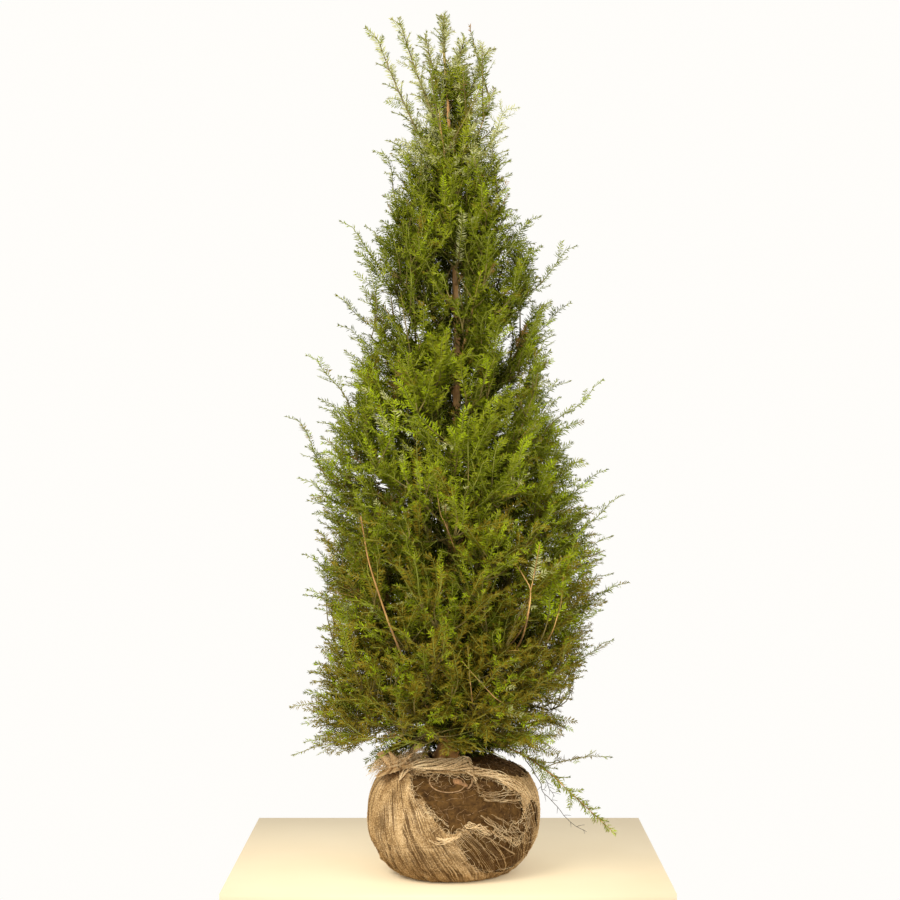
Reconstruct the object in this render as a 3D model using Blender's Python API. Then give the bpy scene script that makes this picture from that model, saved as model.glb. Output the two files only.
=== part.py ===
# Root-balled hedging yew: a narrow, bushy conifer whose soil ball is tied up in jute hessian.
# The plant stands on the flat underside of its ball, at the origin. +Z is up and -Y is its front.
# Every size is in metres.

import math

import bmesh
import bpy
import numpy as np

# Root ball
BALL_RADIUS = 0.200
BALL_HEIGHT = 0.274
FOOT_RADIUS = 0.105
SEAT_RADIUS = 0.048
BALL_ROUNDNESS = 1.8
SHOULDER_ROUNDNESS = 2.6
BALL_SIDES = 20
BALL_RINGS = 5
LAST_RING = math.radians(76)
LUMP = 0.012
LUMP_WAVES = ((2, 0.6, 0.40), (3, 2.0, 0.35))

# Hessian
CLOTH = 0.0042
CLOTH_CLEARANCE = 0.0009
BUNCH_HEIGHT = 0.016
BUNCH_AZIMUTH = math.radians(196)
BUNCH_RISE = math.radians(52)
BUNCH_SPREAD = 0.42
NECK_CENTRE = (0.034, 0.022)
NECK_RADII = (0.112, 0.066)
NECK_SIDES = 20
NECK_DEPTH = 0.060
# Corners of the tear in the front of the cloth, across and up.
TEAR = (
    (-0.103, 0.255),
    (-0.086, 0.212),
    (-0.051, 0.171),
    (-0.017, 0.126),
    (0.028, 0.135),
    (0.085, 0.124),
    (0.136, 0.139),
    (0.168, 0.162),
    (0.156, 0.205),
    (0.109, 0.236),
    (0.052, 0.254),
    (-0.029, 0.260),
)
TEAR_DEPTH = 0.030

# Trunk
GAP = 0.0003
TRUNK_LINE = (
    (-0.013, 0.000, BALL_HEIGHT),
    (-0.006, 0.008, 0.62),
    (0.010, -0.004, 1.13),
    (0.006, 0.004, 1.42),
    (-0.010, 0.000, 1.80),
    (-0.020, 0.002, 1.94),
)
TRUNK_FOOT_RADIUS = 0.0175
TRUNK_TIP_RADIUS = 0.0030
TRUNK_TAPER = 1.4
FLARE = 0.014
FLARE_HEIGHT = 0.020
TRUNK_SIDES = 10
TRUNK_RINGS = 8
FLARE_RINGS = (0.0, 0.012, 0.035, 0.075)
BARE_FOOT = 0.15

# Crown: its edge to the left and to the right of the origin at rising heights.
CROWN_EDGE = (
    (0.25, 0.24, 0.17),
    (0.32, 0.33, 0.25),
    (0.44, 0.33, 0.29),
    (0.55, 0.32, 0.33),
    (0.76, 0.32, 0.36),
    (0.87, 0.33, 0.32),
    (0.98, 0.33, 0.28),
    (1.12, 0.27, 0.24),
    (1.29, 0.21, 0.22),
    (1.40, 0.185, 0.215),
    (1.51, 0.185, 0.185),
    (1.61, 0.150, 0.130),
    (1.72, 0.135, 0.120),
    (1.83, 0.150, 0.120),
    (1.94, 0.190, 0.110),
    (2.05, 0.215, 0.105),
)
CROWN_DEPTH = 0.92
CROWN_TOP = 2.027
FOLIAGE_FOOT = 0.285

# Boughs
BOUGHS = 24
BOUGH_CROWDING = 1.3
GOLDEN_ANGLE = math.radians(137.5)
FIRST_AZIMUTH = math.radians(110)
LOWEST_BOUGH = 0.340
HIGHEST_BOUGH = 1.60
LOW_CLIMB = math.radians(4)
HIGH_CLIMB = math.radians(66)
LOW_ARCH = 0.030
HIGH_ARCH = -0.030
BOUGH_SHARE = 0.20
BOUGH_FOOT_RADII = (0.0085, 0.0040)
BOUGH_TAPER = 0.55
BOUGH_SIDES = 5
BOUGH_RINGS = 3
AXIS_POINTS = 9
REACH_STEP = 0.002

# Upright shoots round the leader: where each tip is, and the height at which it leaves the trunk.
LEADERS = (
    ((-0.037, -0.004, 2.027), 1.94),
    ((-0.207, 0.020, 2.003), 1.60),
    ((-0.143, -0.045, 2.010), 1.70),
    ((-0.082, 0.040, 1.987), 1.78),
    ((0.041, -0.030, 1.963), 1.83),
    ((0.101, 0.035, 1.956), 1.75),
)
LEADER_RADIUS = 0.0034
LEADER_TWIGS = 7
LEADER_TWIG_LENGTH = 0.095
LEADER_HALF_WIDTH = 0.024
LEADER_TWIG_ANGLE = math.radians(40)
LEADER_BARE_SHARE = 0.22
LEADER_BOW = 0.12

# Drooping shoot at the lower right: its path from the trunk to its tip.
DROOP_LINE = (
    (-0.011, 0.000, 0.345),
    (0.105, -0.060, 0.315),
    (0.200, -0.090, 0.270),
    (0.289, -0.100, 0.190),
    (0.377, -0.105, 0.111),
)
DROOP_RADIUS = 0.0050

# Tips of the longest side shoots, across and up.
LONG_TIPS = (
    (0.141, 1.814),
    (0.098, 1.861),
    (-0.171, 1.708),
    (-0.254, 1.559),
    (0.195, 1.566),
    (0.276, 1.488),
    (0.266, 1.360),
    (-0.261, 1.376),
    (-0.332, 1.235),
    (0.342, 1.175),
    (-0.373, 1.088),
    (0.356, 0.963),
    (0.391, 0.903),
    (0.403, 0.695),
    (0.365, 0.560),
    (-0.361, 0.412),
    (-0.361, 0.290),
    (0.365, 0.272),
)

# Foliage
SPACE_MARGIN = 0.0035
LIMB_CLEARANCE = 0.0055
BALL_CLEARANCE = 0.03
STEM_TIP_RADIUS = 0.0016
TWIGS = 4
TWIG_LENGTH = 0.250
TWIG_ANGLES = (math.radians(80), math.radians(34))
CROWN_SLACK = 0.012
TWIG_LIFT = 0.12
TWIG_RADIUS = 0.0028
STEM_RINGS = 5
SUNK = 0.012
END_SPRAY_SHARE = 0.80
END_SPRAY_REACH = 0.014
LONG_BARE_SHARE = 0.42
LONG_ROOTS = (0.30, 0.45, 0.60, 0.75, 0.88)
LONG_DEPTHS = (0.0, 0.35, 0.70)
LONG_LEAST = 0.09
LONG_ROOM = 0.012
BARE_SHARE = 0.46
SPRAY_HALF_WIDTH = 0.046
END_HALF_WIDTH = 0.036
TIP_HALF_WIDTH = 0.018
SPRAY_THICKNESS = 0.0036
SPRAY_PAIRS = 3
SHORT_PAIRS = 2
SPRAY_END = 0.9
SPRAY_TAPER = 0.55
SPRAY_NARROWEST = 0.75
SPRAY_SCALES = (1.0, 0.9, 0.8, 0.7, 0.6, 0.5, 0.4)
SPRAY_SWING = 0.7
SPRAY_RISE = (0.1, 0.9)
TWIG_SWING = 0.3
TWIG_SIZES = (0.85, 1.10)
NEEDLE_SLANT = 1.15
NOTCH = 0.12
CORE_RINGS = (0.04, 0.20, 0.38, 0.56, 0.74, 0.92)
CORE_TAPER = (0.8, 1.0, 1.0, 1.0, 0.9, 0.5)
CORE_FULLNESS = (0.99, 0.66)
CORE_SLANT = 0.5
CORE_LIFT = 0.15
CORE_LEAST = 0.006
CORE_RADIUS = 0.170
CORE_STEP = 0.005
CORE_MARGIN = 0.005
CORE_CLEARANCE = 0.012
CORE_SIDES = 10
CORE_TOP = 1.84
SLIVER = 0.000004
HAIR = 0.0000002
SEED = 7

BARK_COLOUR = (0.171, 0.072, 0.036)
SOIL_COLOUR = (0.114, 0.062, 0.026)
HESSIAN_COLOUR = (0.376, 0.227, 0.095)
FOLIAGE_COLOUR = (0.060, 0.088, 0.012)


def clear_scene():
    for item in list(bpy.data.objects):
        bpy.data.objects.remove(item, do_unlink=True)


def make_material(name, colour, roughness):
    material = bpy.data.materials.new(name)
    material.use_nodes = True
    shader = material.node_tree.nodes["Principled BSDF"]
    shader.inputs["Base Color"].default_value = (*colour, 1.0)
    shader.inputs["Roughness"].default_value = roughness
    shader.inputs["Metallic"].default_value = 0.0
    return material


def make_object(name, corners, faces, material):
    mesh = bpy.data.meshes.new(name)
    mesh.from_pydata([tuple(corner) for corner in corners], [], faces)
    tidy = bmesh.new()
    tidy.from_mesh(mesh)
    bmesh.ops.recalc_face_normals(tidy, faces=tidy.faces)
    tidy.to_mesh(mesh)
    tidy.free()
    mesh.materials.append(material)
    item = bpy.data.objects.new(name, mesh)
    bpy.context.scene.collection.objects.link(item)
    return item


def blend(start, end, share):
    return start + (end - start) * share


def smooth_line(points, count):
    """Evenly stepped points on a smooth curve that passes through all the given points."""
    line = np.array(points, dtype=float)
    line = np.vstack([2 * line[0] - line[1], line, 2 * line[-1] - line[-2]])
    spans = len(points) - 1
    steps = []
    for place in np.linspace(0.0, spans, count):
        span = min(int(place), spans - 1)
        along = place - span
        before, start, end, after = line[span:span + 4]
        steps.append(
            start
            + 0.5 * along * (end - before)
            + along**2 * (before - 2.5 * start + 2 * end - 0.5 * after)
            + along**3 * (1.5 * (start - end) + 0.5 * (after - before))
        )
    return np.array(steps)


def bent_line(start, bend, end, count):
    """Points on a curve that leaves start towards bend and arrives at end from bend."""
    share = np.linspace(0.0, 1.0, count)[:, None]
    return (1 - share) ** 2 * start + 2 * share * (1 - share) * bend + share**2 * end


def tube(points, radii, sides):
    """Corners and faces of a closed tapering limb along the points."""
    points = np.array(points, dtype=float)
    runs = np.gradient(points, axis=0)
    runs /= np.linalg.norm(runs, axis=1)[:, None]
    guide = np.array((0.0, 0.0, 1.0)) if abs(runs[0][2]) < 0.9 else np.array((1.0, 0.0, 0.0))
    corners = []
    for centre, run, radius in zip(points, runs, radii):
        across = guide - run * np.dot(guide, run)
        across /= np.linalg.norm(across)
        guide = across
        upward = np.cross(run, across)
        for side in range(sides):
            turn = 2 * math.pi * side / sides
            corners.append(centre + radius * (math.cos(turn) * across + math.sin(turn) * upward))
    faces = []
    for ring in range(len(points) - 1):
        for side in range(sides):
            low = ring * sides + side
            high = ring * sides + (side + 1) % sides
            faces.append((low, high, high + sides, low + sides))
    last = (len(points) - 1) * sides
    faces.append(tuple(range(sides))[::-1])
    faces.append(tuple(range(last, last + sides)))
    return corners, faces


def evaluated_mesh(item):
    depsgraph = bpy.context.evaluated_depsgraph_get()
    return bpy.data.meshes.new_from_object(item.evaluated_get(depsgraph))


def keep_outer_shell(mesh):
    """Drops the scraps and sealed hollows that a union leaves, so that one shell remains."""
    shape = bmesh.new()
    shape.from_mesh(mesh)
    bmesh.ops.triangulate(shape, faces=shape.faces)
    bmesh.ops.dissolve_degenerate(shape, dist=SLIVER, edges=shape.edges)
    bmesh.ops.triangulate(shape, faces=shape.faces)
    waiting = set(shape.faces)
    shells = []
    while waiting:
        shell = {waiting.pop()}
        edge = list(shell)
        while edge:
            face = edge.pop()
            for line in face.edges:
                if len(line.link_faces) != 2:
                    continue
                for other in line.link_faces:
                    if other in waiting:
                        waiting.discard(other)
                        shell.add(other)
                        edge.append(other)
        shells.append(shell)

    def volume(shell):
        total = 0.0
        for face in shell:
            first, second, third = (corner.co for corner in face.verts)
            total += first.dot(second.cross(third)) / 6
        return total

    outer = max(shells, key=volume)
    spare = [face for shell in shells if shell is not outer for face in shell]
    bmesh.ops.delete(shape, geom=spare, context="FACES")
    shape.to_mesh(mesh)
    shape.free()


def apply_booleans(item, steps):
    """Unions or cuts the item with each tool in turn, applies it and removes the tools."""
    for operation, solver, tools in steps:
        group = bpy.data.collections.new(item.name + "_tools")
        bpy.context.scene.collection.children.link(group)
        for tool in tools:
            group.objects.link(tool)
        modifier = item.modifiers.new(operation.title(), "BOOLEAN")
        modifier.operation = operation
        modifier.operand_type = "COLLECTION"
        modifier.collection = group
        modifier.solver = solver
        mesh = evaluated_mesh(item)
        item.modifiers.clear()
        item.data = mesh
        for tool in tools:
            bpy.data.objects.remove(tool, do_unlink=True)
        bpy.data.collections.remove(group)
    keep_outer_shell(item.data)


def ball_point(azimuth, rise, inset):
    """A point on the ball's outside, or a little way inside it; rise runs from -90 to 90 degrees."""
    def surface(turn, climb):
        low = climb < 0
        end = FOOT_RADIUS if low else SEAT_RADIUS
        power = 2 / (BALL_ROUNDNESS if low else SHOULDER_ROUNDNESS)
        reach = end + (BALL_RADIUS - end) * abs(math.cos(climb)) ** power
        height = BALL_HEIGHT / 2 * (1 + math.copysign(abs(math.sin(climb)) ** power, climb))
        for waves, shift, height_share in LUMP_WAVES:
            reach += LUMP * max(math.cos(climb), 0.0) * height_share * math.sin(waves * turn + shift)
        return np.array((reach * math.cos(turn), reach * math.sin(turn), height))

    step = 0.02
    place = surface(azimuth, rise)
    round_run = surface(azimuth + step, rise) - surface(azimuth - step, rise)
    up_run = surface(azimuth, min(rise + step, 1.5)) - surface(azimuth, max(rise - step, -1.5))
    outward = np.cross(round_run, up_run)
    outward /= np.linalg.norm(outward)
    return place - outward * inset


def ball_shell(inset, bunch):
    """Corners and faces of the closed ball, its surface moved in by inset and out at the bunch."""
    rises = list(np.linspace(-LAST_RING, LAST_RING, BALL_RINGS + 2))
    corners = [np.array((0.0, 0.0, inset))]
    for rise in [-math.pi / 2] + rises + [math.pi / 2]:
        for side in range(BALL_SIDES):
            azimuth = 2 * math.pi * side / BALL_SIDES
            turn = (azimuth - BUNCH_AZIMUTH + math.pi) % (2 * math.pi) - math.pi
            near = math.exp(-(turn**2 + (rise - BUNCH_RISE) ** 2) / BUNCH_SPREAD**2)
            point = ball_point(azimuth, rise, inset - bunch * near)
            if rise == -math.pi / 2:
                point = np.array((*(point[:2] * (1 - inset / FOOT_RADIUS)), inset))
            if rise == math.pi / 2:
                point = np.array((*point[:2], BALL_HEIGHT - inset))
            corners.append(point)
    corners.append(np.array((0.0, 0.0, BALL_HEIGHT - inset)))
    faces = []
    for side in range(BALL_SIDES):
        after = (side + 1) % BALL_SIDES
        faces.append((0, 1 + after, 1 + side))
        for ring in range(len(rises) + 1):
            low = 1 + ring * BALL_SIDES
            high = low + BALL_SIDES
            faces.append((low + side, low + after, high + after, high + side))
        last = 1 + (len(rises) + 1) * BALL_SIDES
        faces.append((last + side, last + after, len(corners) - 1))
    return corners, faces


def prism(outline, start, end, axis):
    """Corners and faces of an outline drawn out along Y or Z from start to end."""
    corners = []
    for level in (start, end):
        for across, up in outline:
            corners.append((across, level, up) if axis == "Y" else (across, up, level))
    count = len(outline)
    faces = [tuple(range(count)), tuple(range(2 * count - 1, count - 1, -1))]
    for side in range(count):
        after = (side + 1) % count
        faces.append((side, side + count, after + count, after))
    return corners, faces


def make_root_ball(material):
    corners, faces = ball_shell(CLOTH + CLOTH_CLEARANCE, 0.0)
    for corner in corners:
        corner[2] = min(corner[2], BALL_HEIGHT - CLOTH)
    return make_object("root_ball", corners, faces, material)


def make_hessian(material):
    cloth = make_object("hessian_wrap", *ball_shell(0.0, BUNCH_HEIGHT), material)
    inside = make_object("inside", *ball_shell(CLOTH, 0.0), material)
    neck = []
    for side in range(NECK_SIDES):
        turn = 2 * math.pi * side / NECK_SIDES
        across = NECK_CENTRE[0] + NECK_RADII[0] * math.cos(turn)
        neck.append((across, NECK_CENTRE[1] + NECK_RADII[1] * math.sin(turn)))
    neck_cut = make_object(
        "neck_cut", *prism(neck, BALL_HEIGHT - NECK_DEPTH, BALL_HEIGHT + NECK_DEPTH, "Z"), material
    )
    tear_cut = make_object("tear_cut", *prism(TEAR, -2 * BALL_RADIUS, -TEAR_DEPTH, "Y"), material)
    apply_booleans(
        cloth,
        [
            ("DIFFERENCE", "EXACT", [inside]),
            ("DIFFERENCE", "EXACT", [neck_cut]),
            ("DIFFERENCE", "EXACT", [tear_cut]),
        ],
    )
    return cloth


def trunk_point(height):
    line = smooth_line(TRUNK_LINE, 60)
    return np.array([np.interp(height, line[:, 2], line[:, axis]) for axis in range(3)])


def trunk_radius(height):
    foot = TRUNK_LINE[0][2]
    share = min(max((height - foot) / (TRUNK_LINE[-1][2] - foot), 0.0), 1.0)
    slender = TRUNK_TIP_RADIUS + (TRUNK_FOOT_RADIUS - TRUNK_TIP_RADIUS) * (1 - share) ** TRUNK_TAPER
    return slender + FLARE * math.exp(-(height - foot) / FLARE_HEIGHT)


def trunk_shape(foot, clearance):
    heights = [foot + rise for rise in FLARE_RINGS]
    heights += list(np.linspace(foot + BARE_FOOT, TRUNK_LINE[-1][2], TRUNK_RINGS))
    points = []
    radii = []
    for height in heights:
        points.append(trunk_point(height) if height > BALL_HEIGHT else (*TRUNK_LINE[0][:2], height))
        radii.append(trunk_radius(height) + clearance)
    return tube(points, radii, TRUNK_SIDES)


def make_trunk(material):
    return make_object("trunk", *trunk_shape(BALL_HEIGHT - CLOTH + GAP, 0.0), material)


def crown_reach(height, azimuth):
    """Distance from the middle to the crown's edge at a height, in one direction."""
    table = np.array(CROWN_EDGE)
    left = np.interp(height, table[:, 0], table[:, 1])
    right = np.interp(height, table[:, 0], table[:, 2])
    width = np.where(np.cos(azimuth) < 0, left, right)
    depth = CROWN_DEPTH * (left + right) / 2
    return 1 / np.sqrt((np.cos(azimuth) / width) ** 2 + (np.sin(azimuth) / depth) ** 2)


def bough_axis(number):
    """The line of one bough and of the stem that carries it on, from the trunk to the crown's edge."""
    share = number / (BOUGHS - 1)
    azimuth = FIRST_AZIMUTH + number * GOLDEN_ANGLE
    foot = trunk_point(blend(LOWEST_BOUGH, HIGHEST_BOUGH, share**BOUGH_CROWDING))
    climb = blend(LOW_CLIMB, HIGH_CLIMB, share)
    outward = np.array((math.cos(azimuth), math.sin(azimuth), math.tan(climb)))
    tip = foot + outward * REACH_STEP
    while math.hypot(tip[0], tip[1]) < crown_reach(tip[2], math.atan2(tip[1], tip[0])):
        tip = tip + outward * REACH_STEP
    bend = (foot + tip) / 2 + np.array((0.0, 0.0, blend(LOW_ARCH, HIGH_ARCH, share)))
    return bent_line(foot, bend, tip, AXIS_POINTS)


def cut_line(axis, start, end, count):
    """The part of an axis between two shares of its length, in evenly stepped points."""
    places = np.linspace(start, end, count) * (len(axis) - 1)
    ticks = np.arange(len(axis))
    return np.array([np.interp(places, ticks, axis[:, column]) for column in range(3)]).T


def shorten_start(axis, share):
    """The rest of an axis after a share of it, begun a hair's breadth on from the limb before it."""
    rest = cut_line(axis, share, 1.0, AXIS_POINTS)
    run = rest[1] - rest[0]
    rest[0] += run / np.linalg.norm(run) * GAP
    return rest


def distances(points, starts, ends):
    """Distance from each point to each straight piece."""
    runs = ends - starts
    offsets = points[:, None, :] - starts[None, :, :]
    along = np.einsum("pij,ij->pi", offsets, runs) / np.einsum("ij,ij->i", runs, runs)
    nearest = offsets - np.clip(along, 0.0, 1.0)[:, :, None] * runs[None, :, :]
    return np.linalg.norm(nearest, axis=2)


class Crown:
    """The stems that share the crown out between them, and the limbs that foliage keeps clear of."""

    def __init__(self):
        self.stems = []
        self.limbs = []

    def add_stem(self, line):
        self.stems.append(np.array(line))

    def add_limb(self, line, radii):
        self.limbs.append((np.array(line), np.array(radii)))

    def settle(self):
        self.starts = np.vstack([stem[:-1] for stem in self.stems])
        self.ends = np.vstack([stem[1:] for stem in self.stems])
        self.owners = np.repeat(np.arange(len(self.stems)), [len(stem) - 1 for stem in self.stems])
        self.limb_starts = np.vstack([line[:-1] for line, radii in self.limbs])
        self.limb_ends = np.vstack([line[1:] for line, radii in self.limbs])
        self.limb_radii = np.concatenate([radii[:-1] for line, radii in self.limbs])

    def room(self, points, number):
        """How far each point lies inside the space of one stem; below zero is outside it."""
        spans = distances(points, self.starts, self.ends)
        own = spans[:, self.owners == number].min(axis=1)
        other = spans[:, self.owners != number].min(axis=1)
        return (other - own) / 2

    def limb_room(self, points):
        return (distances(points, self.limb_starts, self.limb_ends) - self.limb_radii).min(axis=1)

    def inside(self, points, number, slack, margin, clearance):
        """Whether each point lies in the space of one stem, within the crown and clear of its limbs."""
        height = points[:, 2]
        azimuth = np.arctan2(points[:, 1], points[:, 0])
        reach = np.hypot(points[:, 0], points[:, 1])
        good = (reach < crown_reach(height, azimuth) + slack) & (height < CROWN_TOP)
        good &= (height > FOLIAGE_FOOT) | (reach > BALL_RADIUS + BALL_CLEARANCE)
        good &= self.room(points, number) > margin
        return good & (self.limb_room(points) > clearance)

    def fits(self, points, number, slack):
        return bool(self.inside(np.array(points), number, slack, SPACE_MARGIN, LIMB_CLEARANCE).all())

    def open_run(self, centre, way, number):
        """How far a straight line runs from a point before it leaves the space of one stem."""
        steps = np.arange(CORE_STEP, CORE_RADIUS, CORE_STEP)
        good = self.inside(centre + way * steps[:, None], number, CROWN_SLACK, CORE_MARGIN, CORE_CLEARANCE)
        return CORE_STEP * (len(steps) if good.all() else int(np.argmin(good)))


def spray_shape(root, tip, facing, half_width, pairs):
    """A spray of needles: a thin blade with a ridge along its middle and teeth on both edges."""
    run = tip - root
    length = np.linalg.norm(run)
    run = run / length
    facing = facing - run * np.dot(facing, run)
    facing /= np.linalg.norm(facing)
    across = np.cross(facing, run)
    pitch = length / (pairs + SPRAY_END)

    def place(along, aside, height):
        return root + run * along + across * aside + facing * height

    corners = []
    for knot in range(pairs + 1):
        height = SPRAY_THICKNESS / 2 * blend(1.0, SPRAY_TAPER, knot / pairs)
        notch = NOTCH * half_width
        for aside, lift in ((0.0, height), (0.0, -height), (notch, 0.0), (-notch, 0.0)):
            corners.append(place(pitch * knot, aside, lift))
    end = len(corners)
    corners.append(place(length, 0.0, 0.0))
    faces = [(0, 2, 1), (0, 1, 3)]
    for pair in range(pairs):
        low = 4 * pair
        high = low + 4
        fullness = math.sin(math.pi * (pair + 0.8) / pairs)
        width = half_width * blend(SPRAY_NARROWEST, 1.0, fullness)
        for edge, aside in ((2, width), (3, -width)):
            needle = len(corners)
            corners.append(place(pitch * (pair + NEEDLE_SLANT), aside, 0.0))
            for ridge in (0, 1):
                faces.append((low + ridge, low + edge, needle))
                faces.append((low + ridge, needle, high + ridge))
                faces.append((high + ridge, needle, high + edge))
    last = 4 * pairs
    for ridge in (0, 1):
        for edge in (2, 3):
            faces.append((last + ridge, last + edge, end))
    return corners, faces


def spray_samples(corners):
    """Points spread over a spray, close enough together to find whatever it would touch."""
    corners = np.array(corners)
    middle = corners.mean(axis=0)
    samples = [corners]
    for share in (0.35, 0.7):
        samples.append(middle + (corners - middle) * share)
    samples.append((corners[:-1] + corners[1:]) / 2)
    return np.vstack(samples)


def across_and_up(stem, share):
    """A point on a stem, the way it runs there, and two directions square to it."""
    centre, ahead = cut_line(stem, share, min(share + 0.1, 1.0), 2)
    if share > 0.9:
        ahead = centre + stem[-1] - stem[-2]
    run = (ahead - centre) / np.linalg.norm(ahead - centre)
    across = np.cross(run, (0.0, 0.0, 1.0))
    across /= np.linalg.norm(across)
    return centre, run, across, np.cross(across, run)


def core_shape(crown, number, stem, rng):
    """The close inner shoots of a dense mass: a ragged core whose points reach for the edge of its space."""
    corners = []
    for ring, share in enumerate(CORE_RINGS):
        centre, run, across, upward = across_and_up(stem, share)
        for side in range(CORE_SIDES):
            turn = 2 * math.pi * (side + rng.uniform(-0.25, 0.25)) / CORE_SIDES
            way = math.cos(turn) * across + math.sin(turn) * upward
            pointed = (side + ring) % 2 == 0
            if pointed and ring > 0:
                way = way + run * CORE_SLANT + np.array((0.0, 0.0, CORE_LIFT))
                way /= np.linalg.norm(way)
            fullness = CORE_FULLNESS[0 if pointed else 1] * rng.uniform(0.8, 1.0) * CORE_TAPER[ring]
            radius = max(crown.open_run(centre, way, number) * fullness, CORE_LEAST)
            corners.append(centre + way * radius)
    faces = [tuple(range(CORE_SIDES))[::-1]]
    for ring in range(len(CORE_RINGS) - 1):
        for side in range(CORE_SIDES):
            low = ring * CORE_SIDES + side
            high = ring * CORE_SIDES + (side + 1) % CORE_SIDES
            if (side + ring) % 2:
                faces.append((low, high, high + CORE_SIDES))
                faces.append((low, high + CORE_SIDES, low + CORE_SIDES))
            else:
                faces.append((low, high, low + CORE_SIDES))
                faces.append((high, high + CORE_SIDES, low + CORE_SIDES))
    last = (len(CORE_RINGS) - 1) * CORE_SIDES
    faces.append(tuple(range(last, last + CORE_SIDES)))
    return corners, faces


def outward_facing(point, rng):
    """The direction that a spray's flat side faces: away from the trunk, and a little up."""
    azimuth = math.atan2(point[1], point[0]) + rng.uniform(-SPRAY_SWING, SPRAY_SWING)
    return np.array((math.cos(azimuth), math.sin(azimuth), rng.uniform(*SPRAY_RISE)))


def grow_spray(crown, number, root, tip, half_width, pairs, rng):
    """The largest spray from root towards tip that keeps to its mass's space, if any does."""
    facing = outward_facing(tip, rng)
    for share in SPRAY_SCALES:
        end = root + (tip - root) * share
        width = half_width * (1 + 2 * share) / 3
        corners, faces = spray_shape(root, end, facing, width, pairs)
        if crown.fits(spray_samples(corners[2:]), number, CROWN_SLACK):
            return corners, faces
    return None


def grow_twigs(crown, number, rng, twigs, leader):
    """Shapes of the side twigs of one stem, by turns round it, each with a spray of needles."""
    stem = crown.stems[number]
    length = np.linalg.norm(np.diff(stem, axis=0), axis=1).sum()
    turn = rng.uniform(0.0, 2 * math.pi)
    shapes = []
    for twig in range(twigs):
        share = (twig + 0.55) / (twigs + 0.35)
        if leader:
            share = blend(LEADER_BARE_SHARE, 1.0, share)
        turn += GOLDEN_ANGLE + rng.uniform(-TWIG_SWING, TWIG_SWING)
        root, run, across, upward = across_and_up(stem, share)
        aside = math.cos(turn) * across + math.sin(turn) * upward
        angle = LEADER_TWIG_ANGLE if leader else blend(*TWIG_ANGLES, share)
        way = math.cos(angle) * run + math.sin(angle) * aside
        way[2] += TWIG_LIFT
        way /= np.linalg.norm(way)
        size = rng.uniform(*TWIG_SIZES)
        if leader:
            end = root + way * LEADER_TWIG_LENGTH * size
            spray = grow_spray(crown, number, root, end, LEADER_HALF_WIDTH, SHORT_PAIRS, rng)
            shapes += [spray] if spray else []
            continue
        reach = min(TWIG_LENGTH, 0.75 * length + 0.03) * blend(1.0, 0.62, share) * size
        knot = root + way * reach * BARE_SHARE
        spray = grow_spray(crown, number, knot, root + way * reach, SPRAY_HALF_WIDTH, SPRAY_PAIRS, rng)
        if spray:
            shapes.append(tube((root, knot + way * SUNK), (TWIG_RADIUS, STEM_TIP_RADIUS), 3))
            shapes.append(spray)
    return shapes


def grow_mass(crown, number, radius, long_tips, rng, dense, leader):
    """Shapes of one mass: its stem, its core where it is dense, its side twigs and its end shoots."""
    stem = crown.stems[number]
    points = cut_line(stem, 0.0, 1.0, STEM_RINGS)
    shapes = [tube(points, np.linspace(radius, STEM_TIP_RADIUS, STEM_RINGS), 3)]
    if dense:
        shapes.append(core_shape(crown, number, stem, rng))
    shapes += grow_twigs(crown, number, rng, LEADER_TWIGS if leader else TWIGS, leader)
    base, run, across, upward = across_and_up(stem, END_SPRAY_SHARE)
    facing = outward_facing(base, rng)
    end = stem[-1] + run * (0.0 if leader else END_SPRAY_REACH)
    width = LEADER_HALF_WIDTH if leader else END_HALF_WIDTH
    shapes.append(spray_shape(base, end, facing, width, SPRAY_PAIRS))
    for tip, share in long_tips:
        root = cut_line(stem, share, share, 1)[0]
        start = blend(root, tip, LONG_BARE_SHARE)
        sunk = start + (tip - start) * 0.1
        shapes.append(tube((root, sunk), (TWIG_RADIUS, STEM_TIP_RADIUS), 3))
        shapes.append(spray_shape(start, tip, outward_facing(tip, rng), TIP_HALF_WIDTH, SPRAY_PAIRS))
    return shapes


def place_long_tips(crown):
    """Gives each of the longest tips to the mass that it can grow from without leaving its space."""
    given = [[] for stem in crown.stems]
    for across, up in LONG_TIPS:
        best = None
        for number, stem in enumerate(crown.stems):
            for share in LONG_ROOTS:
                root = cut_line(stem, share, share, 1)[0]
                for depth in LONG_DEPTHS:
                    tip = np.array((across, root[1] * depth, up))
                    line = np.linspace(root, tip, 14)[3:]
                    run = tip - root
                    length = np.linalg.norm(run)
                    if length < LONG_LEAST or run[2] < -length / 4 or run[0] * across < 0:
                        continue
                    if min(crown.room(line, number).min(), crown.limb_room(line).min()) < LONG_ROOM:
                        continue
                    if best is None or length < best[0]:
                        best = (length, number, tip, share)
        if best is not None:
            given[best[1]].append((best[2], best[3]))
    return given


def is_sound(mesh):
    """Whether each edge has just two faces, also once corners that all but touch are made one."""
    shape = bmesh.new()
    shape.from_mesh(mesh)
    bmesh.ops.remove_doubles(shape, verts=shape.verts, dist=HAIR)
    sound = all(len(edge.link_faces) == 2 for edge in shape.edges)
    shape.free()
    return sound


def make_mass(name, shapes, material, trunk_room):
    """Joins the shapes of one mass, by the second solver where the first leaves a fault."""
    for solver in ("EXACT", "MANIFOLD"):
        stem = make_object(name, *shapes[0], material)
        rest = [make_object("twig", *shape, material) for shape in shapes[1:]]
        steps = [("UNION", solver, rest)]
        if trunk_room:
            steps.append(("DIFFERENCE", "EXACT", [make_object("trunk_room", *trunk_room, material)]))
        apply_booleans(stem, steps)
        if is_sound(stem.data):
            break
        bpy.data.objects.remove(stem, do_unlink=True)


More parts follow.
